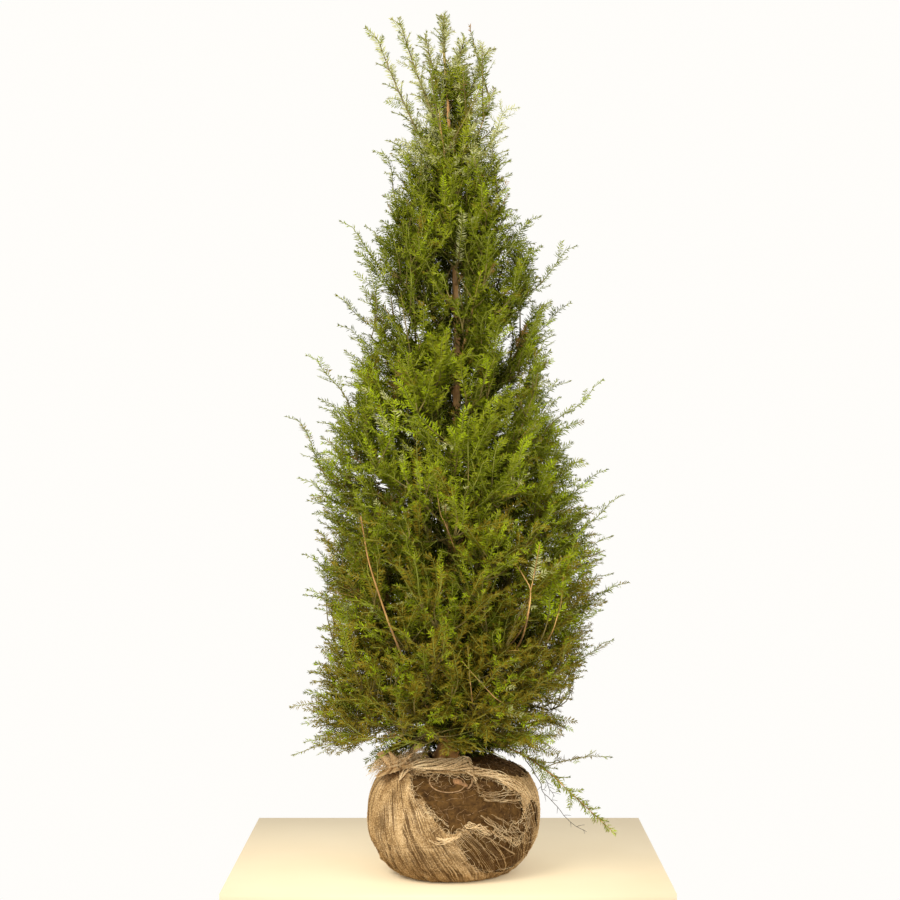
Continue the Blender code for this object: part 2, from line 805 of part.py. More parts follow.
def main():
    clear_scene()
    bark = make_material("bark", BARK_COLOUR, 0.85)
    soil = make_material("soil", SOIL_COLOUR, 0.95)
    hessian = make_material("hessian", HESSIAN_COLOUR, 0.90)
    foliage = make_material("foliage", FOLIAGE_COLOUR, 0.55)

    make_root_ball(soil)
    make_hessian(hessian)
    make_trunk(bark)

    crown = Crown()
    trunk_line = [trunk_point(height) for height in np.linspace(BALL_HEIGHT, TRUNK_LINE[-1][2], 24)]
    crown.add_limb(trunk_line, [trunk_radius(point[2]) for point in trunk_line])

    plans = []
    for number in range(BOUGHS):
        axis = bough_axis(number)
        share = number / (BOUGHS - 1)
        foot = blend(*BOUGH_FOOT_RADII, share)
        line = cut_line(axis, 0.0, BOUGH_SHARE, BOUGH_RINGS + 1)
        radii = np.linspace(foot, foot * BOUGH_TAPER, BOUGH_RINGS + 1)
        crown.add_limb(line, radii)
        crown.add_stem(shorten_start(axis, BOUGH_SHARE))
        plans.append((f"bough_{number + 1:02d}", line, radii))

    droop = smooth_line(DROOP_LINE, AXIS_POINTS)
    line = cut_line(droop, 0.0, BOUGH_SHARE, BOUGH_RINGS + 1)
    radii = np.linspace(DROOP_RADIUS, DROOP_RADIUS * BOUGH_TAPER, BOUGH_RINGS + 1)
    crown.add_limb(line, radii)
    crown.add_stem(shorten_start(droop, BOUGH_SHARE))
    plans.append(("bough_droop", line, radii))

    for tip, foot in LEADERS:
        start = trunk_point(foot)
        tip = np.array(tip)
        bend = (start + tip) / 2 + (tip - start) * LEADER_BOW * np.array((1.0, 1.0, 0.0))
        crown.add_stem(bent_line(start, bend, tip, AXIS_POINTS))
    crown.settle()

    for name, line, radii in plans:
        limb = make_object(name, *tube(line, radii, BOUGH_SIDES), bark)
        trunk_room = make_object("trunk_room", *trunk_shape(BALL_HEIGHT, GAP), bark)
        apply_booleans(limb, [("DIFFERENCE", "EXACT", [trunk_room])])

    long_tips = place_long_tips(crown)
    for number in range(len(crown.stems)):
        rng = np.random.default_rng(SEED + number)
        on_bough = number < BOUGHS
        leader = number > BOUGHS
        if leader:
            radius = LEADER_RADIUS
            label = f"foliage_leader_{number - BOUGHS}"
        else:
            radius = plans[number][2][-1]
            label = f"foliage_{number + 1:02d}" if on_bough else "foliage_droop"
        dense = on_bough and crown.stems[number][-1][2] < CORE_TOP
        shapes = grow_mass(crown, number, radius, long_tips[number], rng, dense, leader)
        make_mass(label, shapes, foliage, trunk_shape(BALL_HEIGHT, GAP) if leader else None)


main()
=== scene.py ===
import math

import bpy
import numpy as np
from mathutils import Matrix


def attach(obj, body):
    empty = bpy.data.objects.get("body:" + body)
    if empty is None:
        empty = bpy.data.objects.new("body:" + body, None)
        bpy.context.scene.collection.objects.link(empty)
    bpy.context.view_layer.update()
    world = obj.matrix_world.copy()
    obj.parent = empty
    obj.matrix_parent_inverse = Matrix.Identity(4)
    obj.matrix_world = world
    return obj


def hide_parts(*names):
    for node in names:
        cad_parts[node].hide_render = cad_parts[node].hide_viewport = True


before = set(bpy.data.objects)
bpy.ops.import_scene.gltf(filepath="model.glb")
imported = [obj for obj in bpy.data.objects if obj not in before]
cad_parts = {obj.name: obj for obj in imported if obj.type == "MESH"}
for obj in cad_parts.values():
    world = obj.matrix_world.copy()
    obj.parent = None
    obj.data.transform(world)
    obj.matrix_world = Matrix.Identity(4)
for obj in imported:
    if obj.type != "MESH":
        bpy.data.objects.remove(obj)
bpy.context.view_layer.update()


# Root ball
# The soil that was dug up with the plant: damp, dark and crumbly, held together by its fine roots.
# It is rounded by the digging and settles on a flattened underside.
BALL_RADIUS = 0.200
BALL_HEIGHT = 0.274
FOOT_RADIUS = 0.105
SEAT_RADIUS = 0.048
BALL_ROUNDNESS = 1.8
SHOULDER_ROUNDNESS = 2.6
LUMP = 0.012
LUMP_WAVES = ((2, 0.6, 0.40), (3, 2.0, 0.35))
SOIL_INSET = 0.0062
SOIL_FLOOR = 0.004
SOIL_SIDES = 380
SOIL_RINGS = 120
SOIL_END = math.radians(86)
CLODS = ((0.024, 0.0022), (0.0095, 0.0017), (0.0045, 0.0011))
SOIL_DARK = (0.050, 0.023, 0.006)
SOIL_BROWN = (0.130, 0.065, 0.017)
SOIL_PALE = (0.235, 0.122, 0.038)
DULL = 0.12


def blend(start, end, share):
    return start + (end - start) * share


def unit(vectors):
    return vectors / np.maximum(np.linalg.norm(vectors, axis=-1), 1e-9)[..., None]


def around(count):
    """Angles evenly spaced once round."""
    return np.linspace(0, 2 * math.pi, count, endpoint=False)


def grain(points, size, seed):
    """Smooth random numbers from -1 to 1 that change over about the given size."""
    points = np.asarray(points, dtype=float)
    lattice = np.random.default_rng(seed).uniform(-1, 1, (32, 32, 32))
    place = points.reshape(-1, 3) / size
    cell = np.floor(place).astype(int)
    part = place - cell
    part = part * part * (3 - 2 * part)
    total = np.zeros(len(place))
    for corner in np.ndindex(2, 2, 2):
        weight = np.prod(np.where(np.array(corner) > 0, part, 1 - part), axis=1)
        at = (cell + corner) % 32
        total += weight * lattice[at[:, 0], at[:, 1], at[:, 2]]
    return total.reshape(points.shape[:-1])


def ball_surface(azimuth, rise):
    """Points on the ball's outside; rise runs from -90 to 90 degrees."""
    low = rise < 0
    end = np.where(low, FOOT_RADIUS, SEAT_RADIUS)
    power = 2 / np.where(low, BALL_ROUNDNESS, SHOULDER_ROUNDNESS)
    reach = end + (BALL_RADIUS - end) * np.abs(np.cos(rise)) ** power
    for waves, shift, share in LUMP_WAVES:
        reach = reach + LUMP * np.maximum(np.cos(rise), 0.0) * share * np.sin(waves * azimuth + shift)
    height = BALL_HEIGHT / 2 * (1 + np.sign(rise) * np.abs(np.sin(rise)) ** power)
    return np.stack([reach * np.cos(azimuth), reach * np.sin(azimuth), height], axis=-1)


def ball_outward(azimuth, rise):
    """The way out of the ball at each place on its surface."""
    step = 0.02
    level = ball_surface(azimuth + step, rise) - ball_surface(azimuth - step, rise)
    above = ball_surface(azimuth, np.minimum(rise + step, 1.5))
    below = ball_surface(azimuth, np.maximum(rise - step, -1.5))
    return unit(np.cross(level, above - below))


def off_ball(azimuth, rise, lift):
    return ball_surface(azimuth, rise) + ball_outward(azimuth, rise) * np.asarray(lift)[..., None]


def clod_lift(place, at):
    """How far the clods of one size stand out."""
    size, height = CLODS[at]
    return height * (np.abs(grain(place, size, at)) * 2 - 0.7)


def put(name, data):
    """Adds an object to the scene."""
    thing = bpy.data.objects.new(name, data)
    bpy.context.scene.collection.objects.link(thing)
    return thing


def make_piece(name, corners, face_groups, finish, smooth=True):
    """A mesh object from an array of corners and arrays of faces with three or four corners each."""
    mesh = bpy.data.meshes.new(name)
    corners = np.asarray(corners, dtype=np.float32).reshape(-1, 3)
    mesh.vertices.add(len(corners))
    mesh.vertices.foreach_set("co", corners.ravel())
    loops = np.concatenate([group.ravel() for group in face_groups]).astype(np.int32)
    sizes = np.concatenate([np.full(len(group), group.shape[1]) for group in face_groups])
    mesh.loops.add(len(loops))
    mesh.loops.foreach_set("vertex_index", loops)
    mesh.polygons.add(len(sizes))
    mesh.polygons.foreach_set("loop_start", (np.cumsum(sizes) - sizes).astype(np.int32))
    mesh.update(calc_edges=True)
    mesh.validate()
    if smooth:
        mesh.shade_smooth()
    mesh.materials.append(finish)
    return put(name, mesh)


def settle(piece, slot, *nodes):
    """Ties a finished piece to the plant's body and hides the plain solids it stands for. Its slot is not
    used.
    """
    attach(piece, "root")
    if nodes:
        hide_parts(*nodes)


class Wire:
    """One output of a material's nodes, so that sums on values add their own Math nodes."""

    def __init__(self, finish, socket):
        self.finish = finish
        self.socket = socket

    def __add__(self, other):
        return self.finish.node("Math", {"operation": "ADD"}, {0: self, 1: other})

    def __mul__(self, other):
        return self.finish.node("Math", {"operation": "MULTIPLY"}, {0: self, 1: other})

    __radd__ = __add__
    __rmul__ = __mul__


class Finish:
    """A material whose look comes from its nodes."""

    def __init__(self, name, colour, roughness):
        self.material = bpy.data.materials.new(name)
        self.material.use_nodes = True
        self.tree = self.material.node_tree
        self.surface = self.tree.nodes["Principled BSDF"]
        self.show("Base Color", (*colour, 1.0))
        self.show("Roughness", roughness)

    def feed(self, socket, part):
        if isinstance(part, Wire):
            self.tree.links.new(part.socket, socket)
        else:
            socket.default_value = part

    def show(self, name, part):
        self.feed(self.surface.inputs[name], part)

    def node(self, kind, settings, inputs, output=0):
        """Adds a node, sets it up, fills its inputs and gives back one of its outputs."""
        node = self.tree.nodes.new("ShaderNode" + kind)
        for name, value in settings.items():
            if name == "stops":
                ramp = node.color_ramp.elements
                for at, (place, colour) in enumerate(value):
                    stop = ramp[at] if at < 2 else ramp.new(place)
                    stop.position = place
                    stop.color = (*colour, 1.0)
            else:
                setattr(node, name, value)
        for name, part in inputs.items():
            self.feed(node.inputs[name], part)
        return Wire(self, node.outputs[output])

    def place(self):
        return self.node("TexCoord", {}, {}, "Object")

    def height(self, where):
        return self.node("SeparateXYZ", {}, {0: where}, 2)

    def noise(self, where, scale, detail=3.0, roughness=0.55, stretch=(1.0, 1.0, 1.0)):
        where = self.node("Mapping", {}, {"Vector": where, "Scale": stretch})
        inputs = {"Vector": where, "Scale": scale, "Detail": detail, "Roughness": roughness}
        return self.node("TexNoise", {}, inputs)

    def ramp(self, share, stops):
        return self.node("ValToRGB", {"stops": stops}, {"Fac": share})

    def fade(self, share, start, end, least=0.0, most=1.0):
        """A grey that goes from the least at start to the most at end."""
        return self.ramp(share, ((start, (least,) * 3), (end, (most,) * 3)))

    def span(self, value, start, end, most):
        return self.node("MapRange", {}, {0: value, 1: start, 2: end, 3: 0.0, 4: most})

    def mix(self, share, first, second):
        first, second = [part if isinstance(part, Wire) else (*part, 1.0) for part in (first, second)]
        return self.node("Mix", {"data_type": "RGBA"}, {0: share, 6: first, 7: second}, 2)

    def bump(self, height, strength, distance):
        inputs = {"Height": height, "Strength": strength, "Distance": distance}
        self.show("Normal", self.node("Bump", {}, inputs))


def make_soil_finish():
    soil = Finish("soil", SOIL_BROWN, 0.93)
    where = soil.place()
    clods = soil.noise(where, 62.0, 5.0, 0.62)
    crumbs = soil.noise(where, 340.0, 3.0, 0.6)
    earth = soil.ramp(clods, ((0.34, SOIL_DARK), (0.66, SOIL_BROWN)))
    soil.show("Base Color", soil.mix(soil.fade(crumbs, 0.60, 0.78), earth, SOIL_PALE))
    soil.show("Roughness", 0.80 + 0.18 * clods)
    soil.show("Specular IOR Level", DULL)
    soil.bump(clods * 0.6 + crumbs * 0.4, 0.55, 0.0016)
    return soil.material


def grid_faces(rows, columns):
    """Four-cornered faces of a grid of corners laid row by row, closed round its columns."""
    row, column = np.meshgrid(np.arange(rows - 1), np.arange(columns), indexing="ij")
    after = (column + 1) % columns
    low = row * columns
    high = low + columns
    return np.stack([low + column, low + after, high + after, high + column], axis=-1).reshape(-1, 4)


def make_soil(finish):
    rises = np.linspace(-SOIL_END, SOIL_END, SOIL_RINGS)
    rise, azimuth = np.meshgrid(rises, around(SOIL_SIDES), indexing="ij")
    place = ball_surface(azimuth, rise)
    lift = -SOIL_INSET
    for at in range(len(CLODS)):
        lift = lift + clod_lift(place, at)
    corners = off_ball(azimuth, rise, lift).reshape(-1, 3)
    corners[:, 2] = np.maximum(corners[:, 2], SOIL_FLOOR)
    poles = ((0, 0, SOIL_FLOOR), (0, 0, corners[:, 2].max() - 0.002))
    side = np.arange(SOIL_SIDES)
    after = (side + 1) % SOIL_SIDES
    last = (SOIL_RINGS - 1) * SOIL_SIDES
    pole = np.full(SOIL_SIDES, len(corners))
    under = np.stack([pole, after, side], axis=-1)
    over = np.stack([last + side, last + after, pole + 1], axis=-1)
    groups = [grid_faces(SOIL_RINGS, SOIL_SIDES), under, over]
    return make_piece("root_ball_soil", np.vstack([corners, poles]), groups, finish)


soil_finish = make_soil_finish()
settle(make_soil(soil_finish), "soil", "root_ball")


# Tear and neck of the wrap
# The cloth is torn open at the front, where the ball was handled, and stays open round the trunk.
# Both openings bare the soil, and below the tear the weave is worn to a few threads.
# The outlines are seen from the front, across and up, in millimetres.
TEAR = (
    (-103, 255), (-86, 212), (-51, 171), (-17, 126), (28, 135), (85, 124), (118, 112), (150, 92),
    (174, 104), (168, 146), (159, 178), (156, 204), (109, 236), (52, 254), (-29, 260),
)
WORN = (
    (6, 128), (28, 137), (85, 128), (138, 134), (166, 156), (180, 184), (199, 172),
    (198, 104), (186, 64), (160, 34), (122, 18), (66, 28), (30, 68),
)
EDGE_STEP = 0.005
RAGS = 0.0034
FRONT_END = 0.03
SIDE_STRETCH = 6.0
NECK_CENTRE = (0.060, -0.008)
NECK_RADII = (0.120, 0.106)


def ragged(outline):
    """An outline as close points in metres, with the small rags that torn cloth has."""
    line = np.array(outline + outline[:1]) / 1000
    close = []
    for start, end in zip(line[:-1], line[1:]):
        count = max(int(np.linalg.norm(end - start) / EDGE_STEP), 1)
        close.append(start + (end - start) * np.linspace(0, 1, count, endpoint=False)[:, None])
    close = np.vstack(close)
    flat = np.column_stack([close, np.zeros(len(close))])
    shift = [RAGS * (grain(flat, 0.013, seed) + 0.6 * grain(flat, 0.006, seed + 1)) for seed in (21, 23)]
    return close + np.column_stack(shift)


TEAR_EDGE = ragged(TEAR)
WORN_EDGE = ragged(WORN)


def from_runs(seen, starts, runs):
    """The shortest way from each of some straight runs to each seen place, and how long it is."""
    offsets = seen[:, None] - starts
    along = np.clip((offsets * runs).sum(axis=2) / (runs**2).sum(axis=1), 0, 1)
    apart = offsets - along[:, :, None] * runs
    return apart, np.linalg.norm(apart, axis=2)


def gap_from(seen, edge):
    """How far each seen place lies outside an outline; below zero it is inside."""
    runs = np.roll(edge, -1, axis=0) - edge
    gaps = from_runs(seen, edge, runs)[1].min(axis=1)
    ends = edge[:, 1] + runs[:, 1]
    crossing = (edge[:, 1] > seen[:, None, 1]) != (ends > seen[:, None, 1])
    slope = runs[:, 0] / np.where(np.abs(runs[:, 1]) < 1e-9, 1e-9, runs[:, 1])
    meets = edge[:, 0] + slope * (seen[:, None, 1] - edge[:, 1])
    inside = (crossing & (seen[:, None, 0] < meets)).sum(axis=1) % 2 == 1
    return np.where(inside, -gaps, gaps)


def cloth_left(azimuth, rise, worn=False):
    """How far each place lies from the nearest opening's edge; below zero it is inside the opening."""
    place = ball_surface(azimuth, rise).reshape(-1, 3)
    gap = np.ones(len(place))
    front = place[:, 1] < FRONT_END
    past = 1 + SIDE_STRETCH * np.maximum(place[front, 1] + FRONT_END, 0)
    seen = np.column_stack([place[front, 0] * past, place[front, 2]])
    for edge in (TEAR_EDGE, WORN_EDGE) if worn else (TEAR_EDGE,):
        gap[front] = np.minimum(gap[front], gap_from(seen, edge))
    neck = (np.hypot(*((place[:, :2] - NECK_CENTRE) / NECK_RADII).T) - 1) * NECK_RADII[1]
    gap = np.where(np.ravel(rise) > 0, np.minimum(gap, neck), gap)
    return gap.reshape(np.shape(azimuth))


# Crumbs of soil
# Crumbs and small clods that have come loose and cling to the bared soil, from 2 to 7 mm across.
# They lie wherever the cloth leaves the soil open.
CRUMBS = 2400
CRUMB_TRIES = 30000
CRUMB_SIZES = (0.0009, 0.0034)
CRUMB_ROUGHNESS = 0.0022
CRUMB_REACH = 0.004
CRUMB_SEED = 31


class Pattern:
    """A Geometry Nodes tree with named inputs, which ends in a real mesh with one material."""

    def __init__(self, name, inputs):
        self.tree = bpy.data.node_groups.new(name, "GeometryNodeTree")
        self.keys = {}
        for label, kind in (("Geometry", "Geometry"), *inputs, ("Material", "Material")):
            socket = self.tree.interface.new_socket(label, in_out="INPUT", socket_type="NodeSocket" + kind)
            self.keys[label] = socket.identifier
        self.tree.interface.new_socket("Geometry", in_out="OUTPUT", socket_type="NodeSocketGeometry")
        self.given = self.tree.nodes.new("NodeGroupInput").outputs

    def node(self, kind, settings, inputs, output=0):
        """Adds a node, sets it up, fills its inputs and gives back one of its outputs."""
        node = self.tree.nodes.new(kind)
        for name, value in settings.items():
            setattr(node, name, value)
        for name, part in inputs.items():
            if isinstance(part, bpy.types.NodeSocket):
                self.tree.links.new(part, node.inputs[name])
            else:
                node.inputs[name].default_value = part
        return node.outputs[output]

    def end(self, geometry):
        real = self.node("GeometryNodeRealizeInstances", {}, {"Geometry": geometry})
        inputs = {"Geometry": real, "Material": self.given["Material"]}
        shown = self.node("GeometryNodeSetMaterial", {}, inputs)
        self.tree.links.new(shown, self.tree.nodes.new("NodeGroupOutput").inputs[0])

    def make(self, name, start, values):
        """Runs the tree on a starting mesh and gives back the result as a plain mesh object."""
        helper = put(name + "_start", start)
        modifier = helper.modifiers.new("pattern", "NODES")
        modifier.node_group = self.tree
        for label, value in values.items():
            modifier[self.keys[label]] = value
        seen = helper.evaluated_get(bpy.context.evaluated_depsgraph_get())
        mesh = bpy.data.meshes.new_from_object(seen)
        helper.modifiers.remove(modifier)
        bpy.data.objects.remove(helper)
        mesh.name = name
        return put(name, mesh)


def make_crumb_pattern():
    """Rough lumps, one at each loose corner of the starting mesh, each turned and sized its own way."""
    inputs = (("Least", "Float"), ("Most", "Float"), ("Roughness", "Float"), ("Seed", "Int"))
    crumb = Pattern("crumbs", inputs)
    given = crumb.given
    lump = crumb.node("GeometryNodeMeshIcoSphere", {}, {"Radius": 1.0, "Subdivisions": 1})
    drawn = {2: 0.0, 3: 1.0, "Seed": given["Seed"]}
    share = crumb.node("FunctionNodeRandomValue", {"data_type": "FLOAT"}, drawn, 1)
    share = crumb.node("ShaderNodeMath", {"operation": "POWER"}, {0: share, 1: 2.4})
    size = crumb.node("ShaderNodeMapRange", {}, {"Value": share, 3: given["Least"], 4: given["Most"]})
    drawn = {0: (0.0, 0.0, 0.0), 1: (6.28, 6.28, 6.28), "Seed": given["Seed"]}
    turn = crumb.node("FunctionNodeRandomValue", {"data_type": "FLOAT_VECTOR"}, drawn)
    placed = {"Points": given["Geometry"], "Instance": lump, "Rotation": turn, "Scale": size}
    placed = crumb.node("GeometryNodeInstanceOnPoints", {}, placed)
    real = crumb.node("GeometryNodeRealizeInstances", {}, {"Geometry": placed})
    shift = crumb.node("ShaderNodeTexNoise", {}, {"Scale": 420.0, "Detail": 1.0}, 1)
    shift = crumb.node("ShaderNodeVectorMath", {"operation": "SUBTRACT"}, {0: shift, 1: (0.5, 0.5, 0.5)})
    scaled = {0: shift, "Scale": given["Roughness"]}
    shift = crumb.node("ShaderNodeVectorMath", {"operation": "SCALE"}, scaled)
    crumb.end(crumb.node("GeometryNodeSetPosition", {}, {"Geometry": real, "Offset": shift}))
    return crumb


def make_crumbs(finish):
    rng = np.random.default_rng(CRUMB_SEED)
    azimuth = rng.uniform(-math.pi, math.pi, CRUMB_TRIES)
    rise = rng.uniform(math.radians(-40), math.radians(86), CRUMB_TRIES)
    bare = cloth_left(azimuth, rise, True) < CRUMB_REACH * rng.uniform(-1, 1, CRUMB_TRIES)
    azimuth = azimuth[bare][:CRUMBS]
    rise = rise[bare][:CRUMBS]
    place = off_ball(azimuth, rise, -SOIL_INSET)
    place += ball_outward(azimuth, rise) * clod_lift(place, 0)[:, None]
    start = bpy.data.meshes.new("crumb_places")
    start.from_pydata(place.tolist(), [], [])
    values = {"Least": CRUMB_SIZES[0], "Most": CRUMB_SIZES[1], "Roughness": CRUMB_ROUGHNESS}
    return make_crumb_pattern().make("soil_crumbs", start, {**values, "Seed": CRUMB_SEED, "Material": finish})


settle(make_crumbs(soil_finish), "soil")


# Roots in the soil
# Fine pale roots that lie in the bared soil, and one thicker root curled into a ring beside its cut stub.
# They are woody, a millimetre or less thick, and half sunk in the soil.
ROOTS = 150
ROOT_STEP = 0.0032
ROOT_POINTS = 15
ROOT_RADII = (0.00022, 0.00048)
RING_CENTRE = (-0.006, 0.244)
RING_RADII = (0.046, 0.0225)
RING_THICKNESS = 0.0022
RING_POINTS = 64
STUB = ((0.002, 0.2425), (0.036, 0.2370))
STUB_RADIUS = 0.0078
STUB_SIDES = 18
STUB_BROWN = (0.45, 0.235, 0.100)
ROOT_PALE = (0.46, 0.290, 0.140)
ROOT_BROWN = (0.205, 0.112, 0.050)


def front_of_ball(across, up):
    """Azimuth and rise of the place on the ball's front that is seen at those two distances."""
    level = 2 * np.asarray(up) / BALL_HEIGHT - 1
    power = 2 / np.where(level < 0, BALL_ROUNDNESS, SHOULDER_ROUNDNESS)
    rise = np.sign(level) * np.arcsin(np.clip(np.abs(level), 0, 1) ** (1 / power))
    azimuth = np.full(np.shape(rise), -math.pi / 2)
    for _ in range(6):
        reach = np.hypot(*np.moveaxis(ball_surface(azimuth, rise)[..., :2], -1, 0))
        azimuth = -np.arccos(np.clip(across / reach, -1, 1))
    return azimuth, rise


def on_soil(across, up, lift):
    return off_ball(*front_of_ball(across, np.minimum(up, BALL_HEIGHT - 0.002)), lift)


def spoke(turn, across, upward):
    """The direction at an angle between two directions that are square to each other."""
    return np.cos(turn)[..., None] * across + np.sin(turn)[..., None] * upward


def sweep(lines, radii, sides):
    """Corners and faces of many closed limbs: lines is (limbs, points, 3) and radii (limbs, points)."""
    runs = unit(np.gradient(lines, axis=1))
    upright = np.abs(runs.mean(axis=1)[:, None, 2:3]) < 0.8
    across = unit(np.cross(runs, np.where(upright, (0.0, 0.0, 1.0), (1.0, 0.0, 0.0))))
    upward = np.cross(across, runs)
    out = spoke(around(sides), across[:, :, None], upward[:, :, None])
    corners = lines[:, :, None] + radii[:, :, None, None] * out
    limbs, points = radii.shape
    offsets = np.arange(limbs)[:, None, None] * points * sides
    body = grid_faces(points, sides)[:, ::-1]
    end = (points - 1) * sides + sides - 1
    fans = [(0, at, at + 1) for at in range(1, sides - 1)]
    fans += [(end, end - at, end - at - 1) for at in range(1, sides - 1)]
    groups = [(body[None] + offsets).reshape(-1, 4), (np.array(fans)[None] + offsets).reshape(-1, 3)]
    return corners.reshape(-1, 3), groups


def gather(parts):
    """Puts several sets of corners and faces together as one."""
    starts = np.cumsum([0] + [len(points) for points, _ in parts])
    groups = [group + start for start, (_, faces) in zip(starts, parts) for group in faces]
    return np.vstack([points for points, _ in parts]), groups


def make_root_finish(name, colour, deep):
    finish = Finish(name, colour, 0.8)
    streaks = finish.noise(finish.place(), 190.0, 3.0, 0.6)
    finish.show("Base Color", finish.mix(finish.fade(streaks, 0.35, 0.65), deep, colour))
    finish.show("Roughness", 0.70 + 0.22 * streaks)
    finish.show("Specular IOR Level", DULL)
    return finish.material


def make_roots(finish):
    rng = np.random.default_rng(41)
    lines = []
    while len(lines) < ROOTS:
        azimuth = np.array([rng.uniform(-2.9, 0.6)])
        rise = np.array([rng.uniform(-0.5, 1.35)])
        if cloth_left(azimuth, rise)[0] > 0.002:
            continue
        way = rng.uniform(0, 2 * math.pi)
        line = []
        for step in range(ROOT_POINTS):
            depth = SOIL_INSET - 0.0014 + 0.0010 * math.sin(step * 1.1 + way * 5)
            line.append(off_ball(azimuth, rise, -depth)[0])
            way += rng.normal(0, 0.38)
            azimuth = azimuth + ROOT_STEP * math.cos(way) / 0.16
            rise = np.clip(rise + ROOT_STEP * math.sin(way) / 0.17, -1.2, 1.45)
        lines.append(line)
    thick = rng.uniform(*ROOT_RADII, ROOTS)[:, None] * np.linspace(1.2, 0.45, ROOT_POINTS)
    turn = np.linspace(math.radians(-40), math.radians(455), RING_POINTS)
    shrink = np.interp(turn, (turn[0], math.radians(300), turn[-1]), (1.12, 1.0, 0.42))
    across = RING_CENTRE[0] + RING_RADII[0] * shrink * np.cos(turn) + 0.010 * (shrink - 1.0)
    up = RING_CENTRE[1] + RING_RADII[1] * shrink * np.sin(turn)
    ring = on_soil(across, up, 0.0022 - SOIL_INSET)
    ring_radii = np.linspace(RING_THICKNESS, RING_THICKNESS * 0.45, RING_POINTS)
    parts = [sweep(np.array(lines), thick, 4), sweep(ring[None], ring_radii[None], 8)]
    return make_piece("soil_roots", *gather(parts), finish)


def make_stub(finish):
    """The cut end of a root as thick as a finger, lying in the ring."""
    share = np.linspace(0, 1, 26)
    across, up = [blend(start, end, share) for start, end in zip(*STUB)]
    line = on_soil(across, up + 0.0025 * np.sin(share * 5), 0.001 - SOIL_INSET)
    radii = STUB_RADIUS * (0.55 + 0.45 * np.sin(np.clip(share * 1.25 + 0.25, 0, 1) * math.pi) ** 0.6)
    radii *= 1 + 0.10 * np.sin(share * 31)
    radii[[0, -1]] *= 0.35
    corners, groups = sweep(line[None], radii[None], STUB_SIDES)
    out = corners - np.repeat(line, STUB_SIDES, axis=0)
    corners += (0.0009 * grain(corners, 0.004, 43))[:, None] * out / STUB_RADIUS
    return make_piece("root_stub", corners, groups, finish)


settle(make_roots(make_root_finish("pale_root", ROOT_PALE, ROOT_BROWN)), "soil")
settle(make_stub(make_root_finish("stub_root", STUB_BROWN, ROOT_BROWN)), "soil")


# Hessian wrap
# A square of coarse jute, woven open, drawn up round the ball and gathered to a knot at the upper left.
# Its folds fan out from the knot and fall to the foot, and its torn edges stand a little proud of the soil.
FOLDS = 180
CLOTH_RINGS = 104
CLOTH_WALL = 0.0010
CLOTH_FLOOR = 0.0006
KNOT_AZIMUTH = math.radians(212)
KNOT_RISE = math.radians(57)
FOLD_LEAN = 0.42
FINE_FOLD = 0.0009
WIDE_FOLDS = ((19, 2.4, 0.0013), (47, 3.0, 0.0011), (97, 2.2, 0.0010))
# Courses of the laps, across and up in millimetres. The cloth stands out on a course's left
# and dips beside it.
LAPS = (
    ((-112, 256), (-146, 214), (-170, 168), (-184, 122), (-188, 80)),
    ((-98, 246), (-108, 190), (-116, 130), (-112, 70)),
)
LAP_HEIGHT = 0.0042
LAP_REACHES = (0.012, 0.005)
EDGE_LIFT = 0.0018
# The jute's colour for painted shade in its folds, then its dark, middle and pale fibres.
JUTE = ((0.112, 0.058, 0.021), (0.190, 0.103, 0.037), (0.455, 0.288, 0.120), (0.800, 0.575, 0.310))


def fan_from_knot(turn, distance):
    """Azimuth and rise of the places on folds that leave the knot each their own way, at distances on it."""
    reach = math.tan((math.pi / 2 - KNOT_RISE) / 2)
    across = reach * math.cos(KNOT_AZIMUTH) + distance * np.cos(turn)
    away = reach * math.sin(KNOT_AZIMUTH) + distance * np.sin(turn)
    azimuth = np.arctan2(away, across)
    rise = math.pi / 2 - 2 * np.arctan(np.hypot(across, away))
    leaning = np.exp(-(((azimuth + 1.05) / 0.75) ** 2)) * np.clip(0.35 - rise, 0, 1.3)
    return azimuth + FOLD_LEAN * leaning, rise


def lap_lift(seen, course):
    """How far a lap lifts the cloth at each seen place, from 1 at its edge; below zero in its valley."""
    course = np.array(course) / 1000
    runs = course[1:] - course[:-1]
    apart, gaps = from_runs(seen, course[:-1], runs)
    rows = np.arange(len(seen))
    near = gaps.argmin(axis=1)
    side = runs[near, 0] * apart[rows, near, 1] - runs[near, 1] * apart[rows, near, 0]
    gap = gaps[rows, near]
    lift = np.where(side < 0, np.exp(-gap / LAP_REACHES[0]), 2 * np.exp(-gap / LAP_REACHES[1]) - 1)
    return lift * np.exp(-gap / 0.02)


def cloth_distances(count):
    return np.tan(np.linspace(math.radians(5), math.radians(178.2), count) / 2)


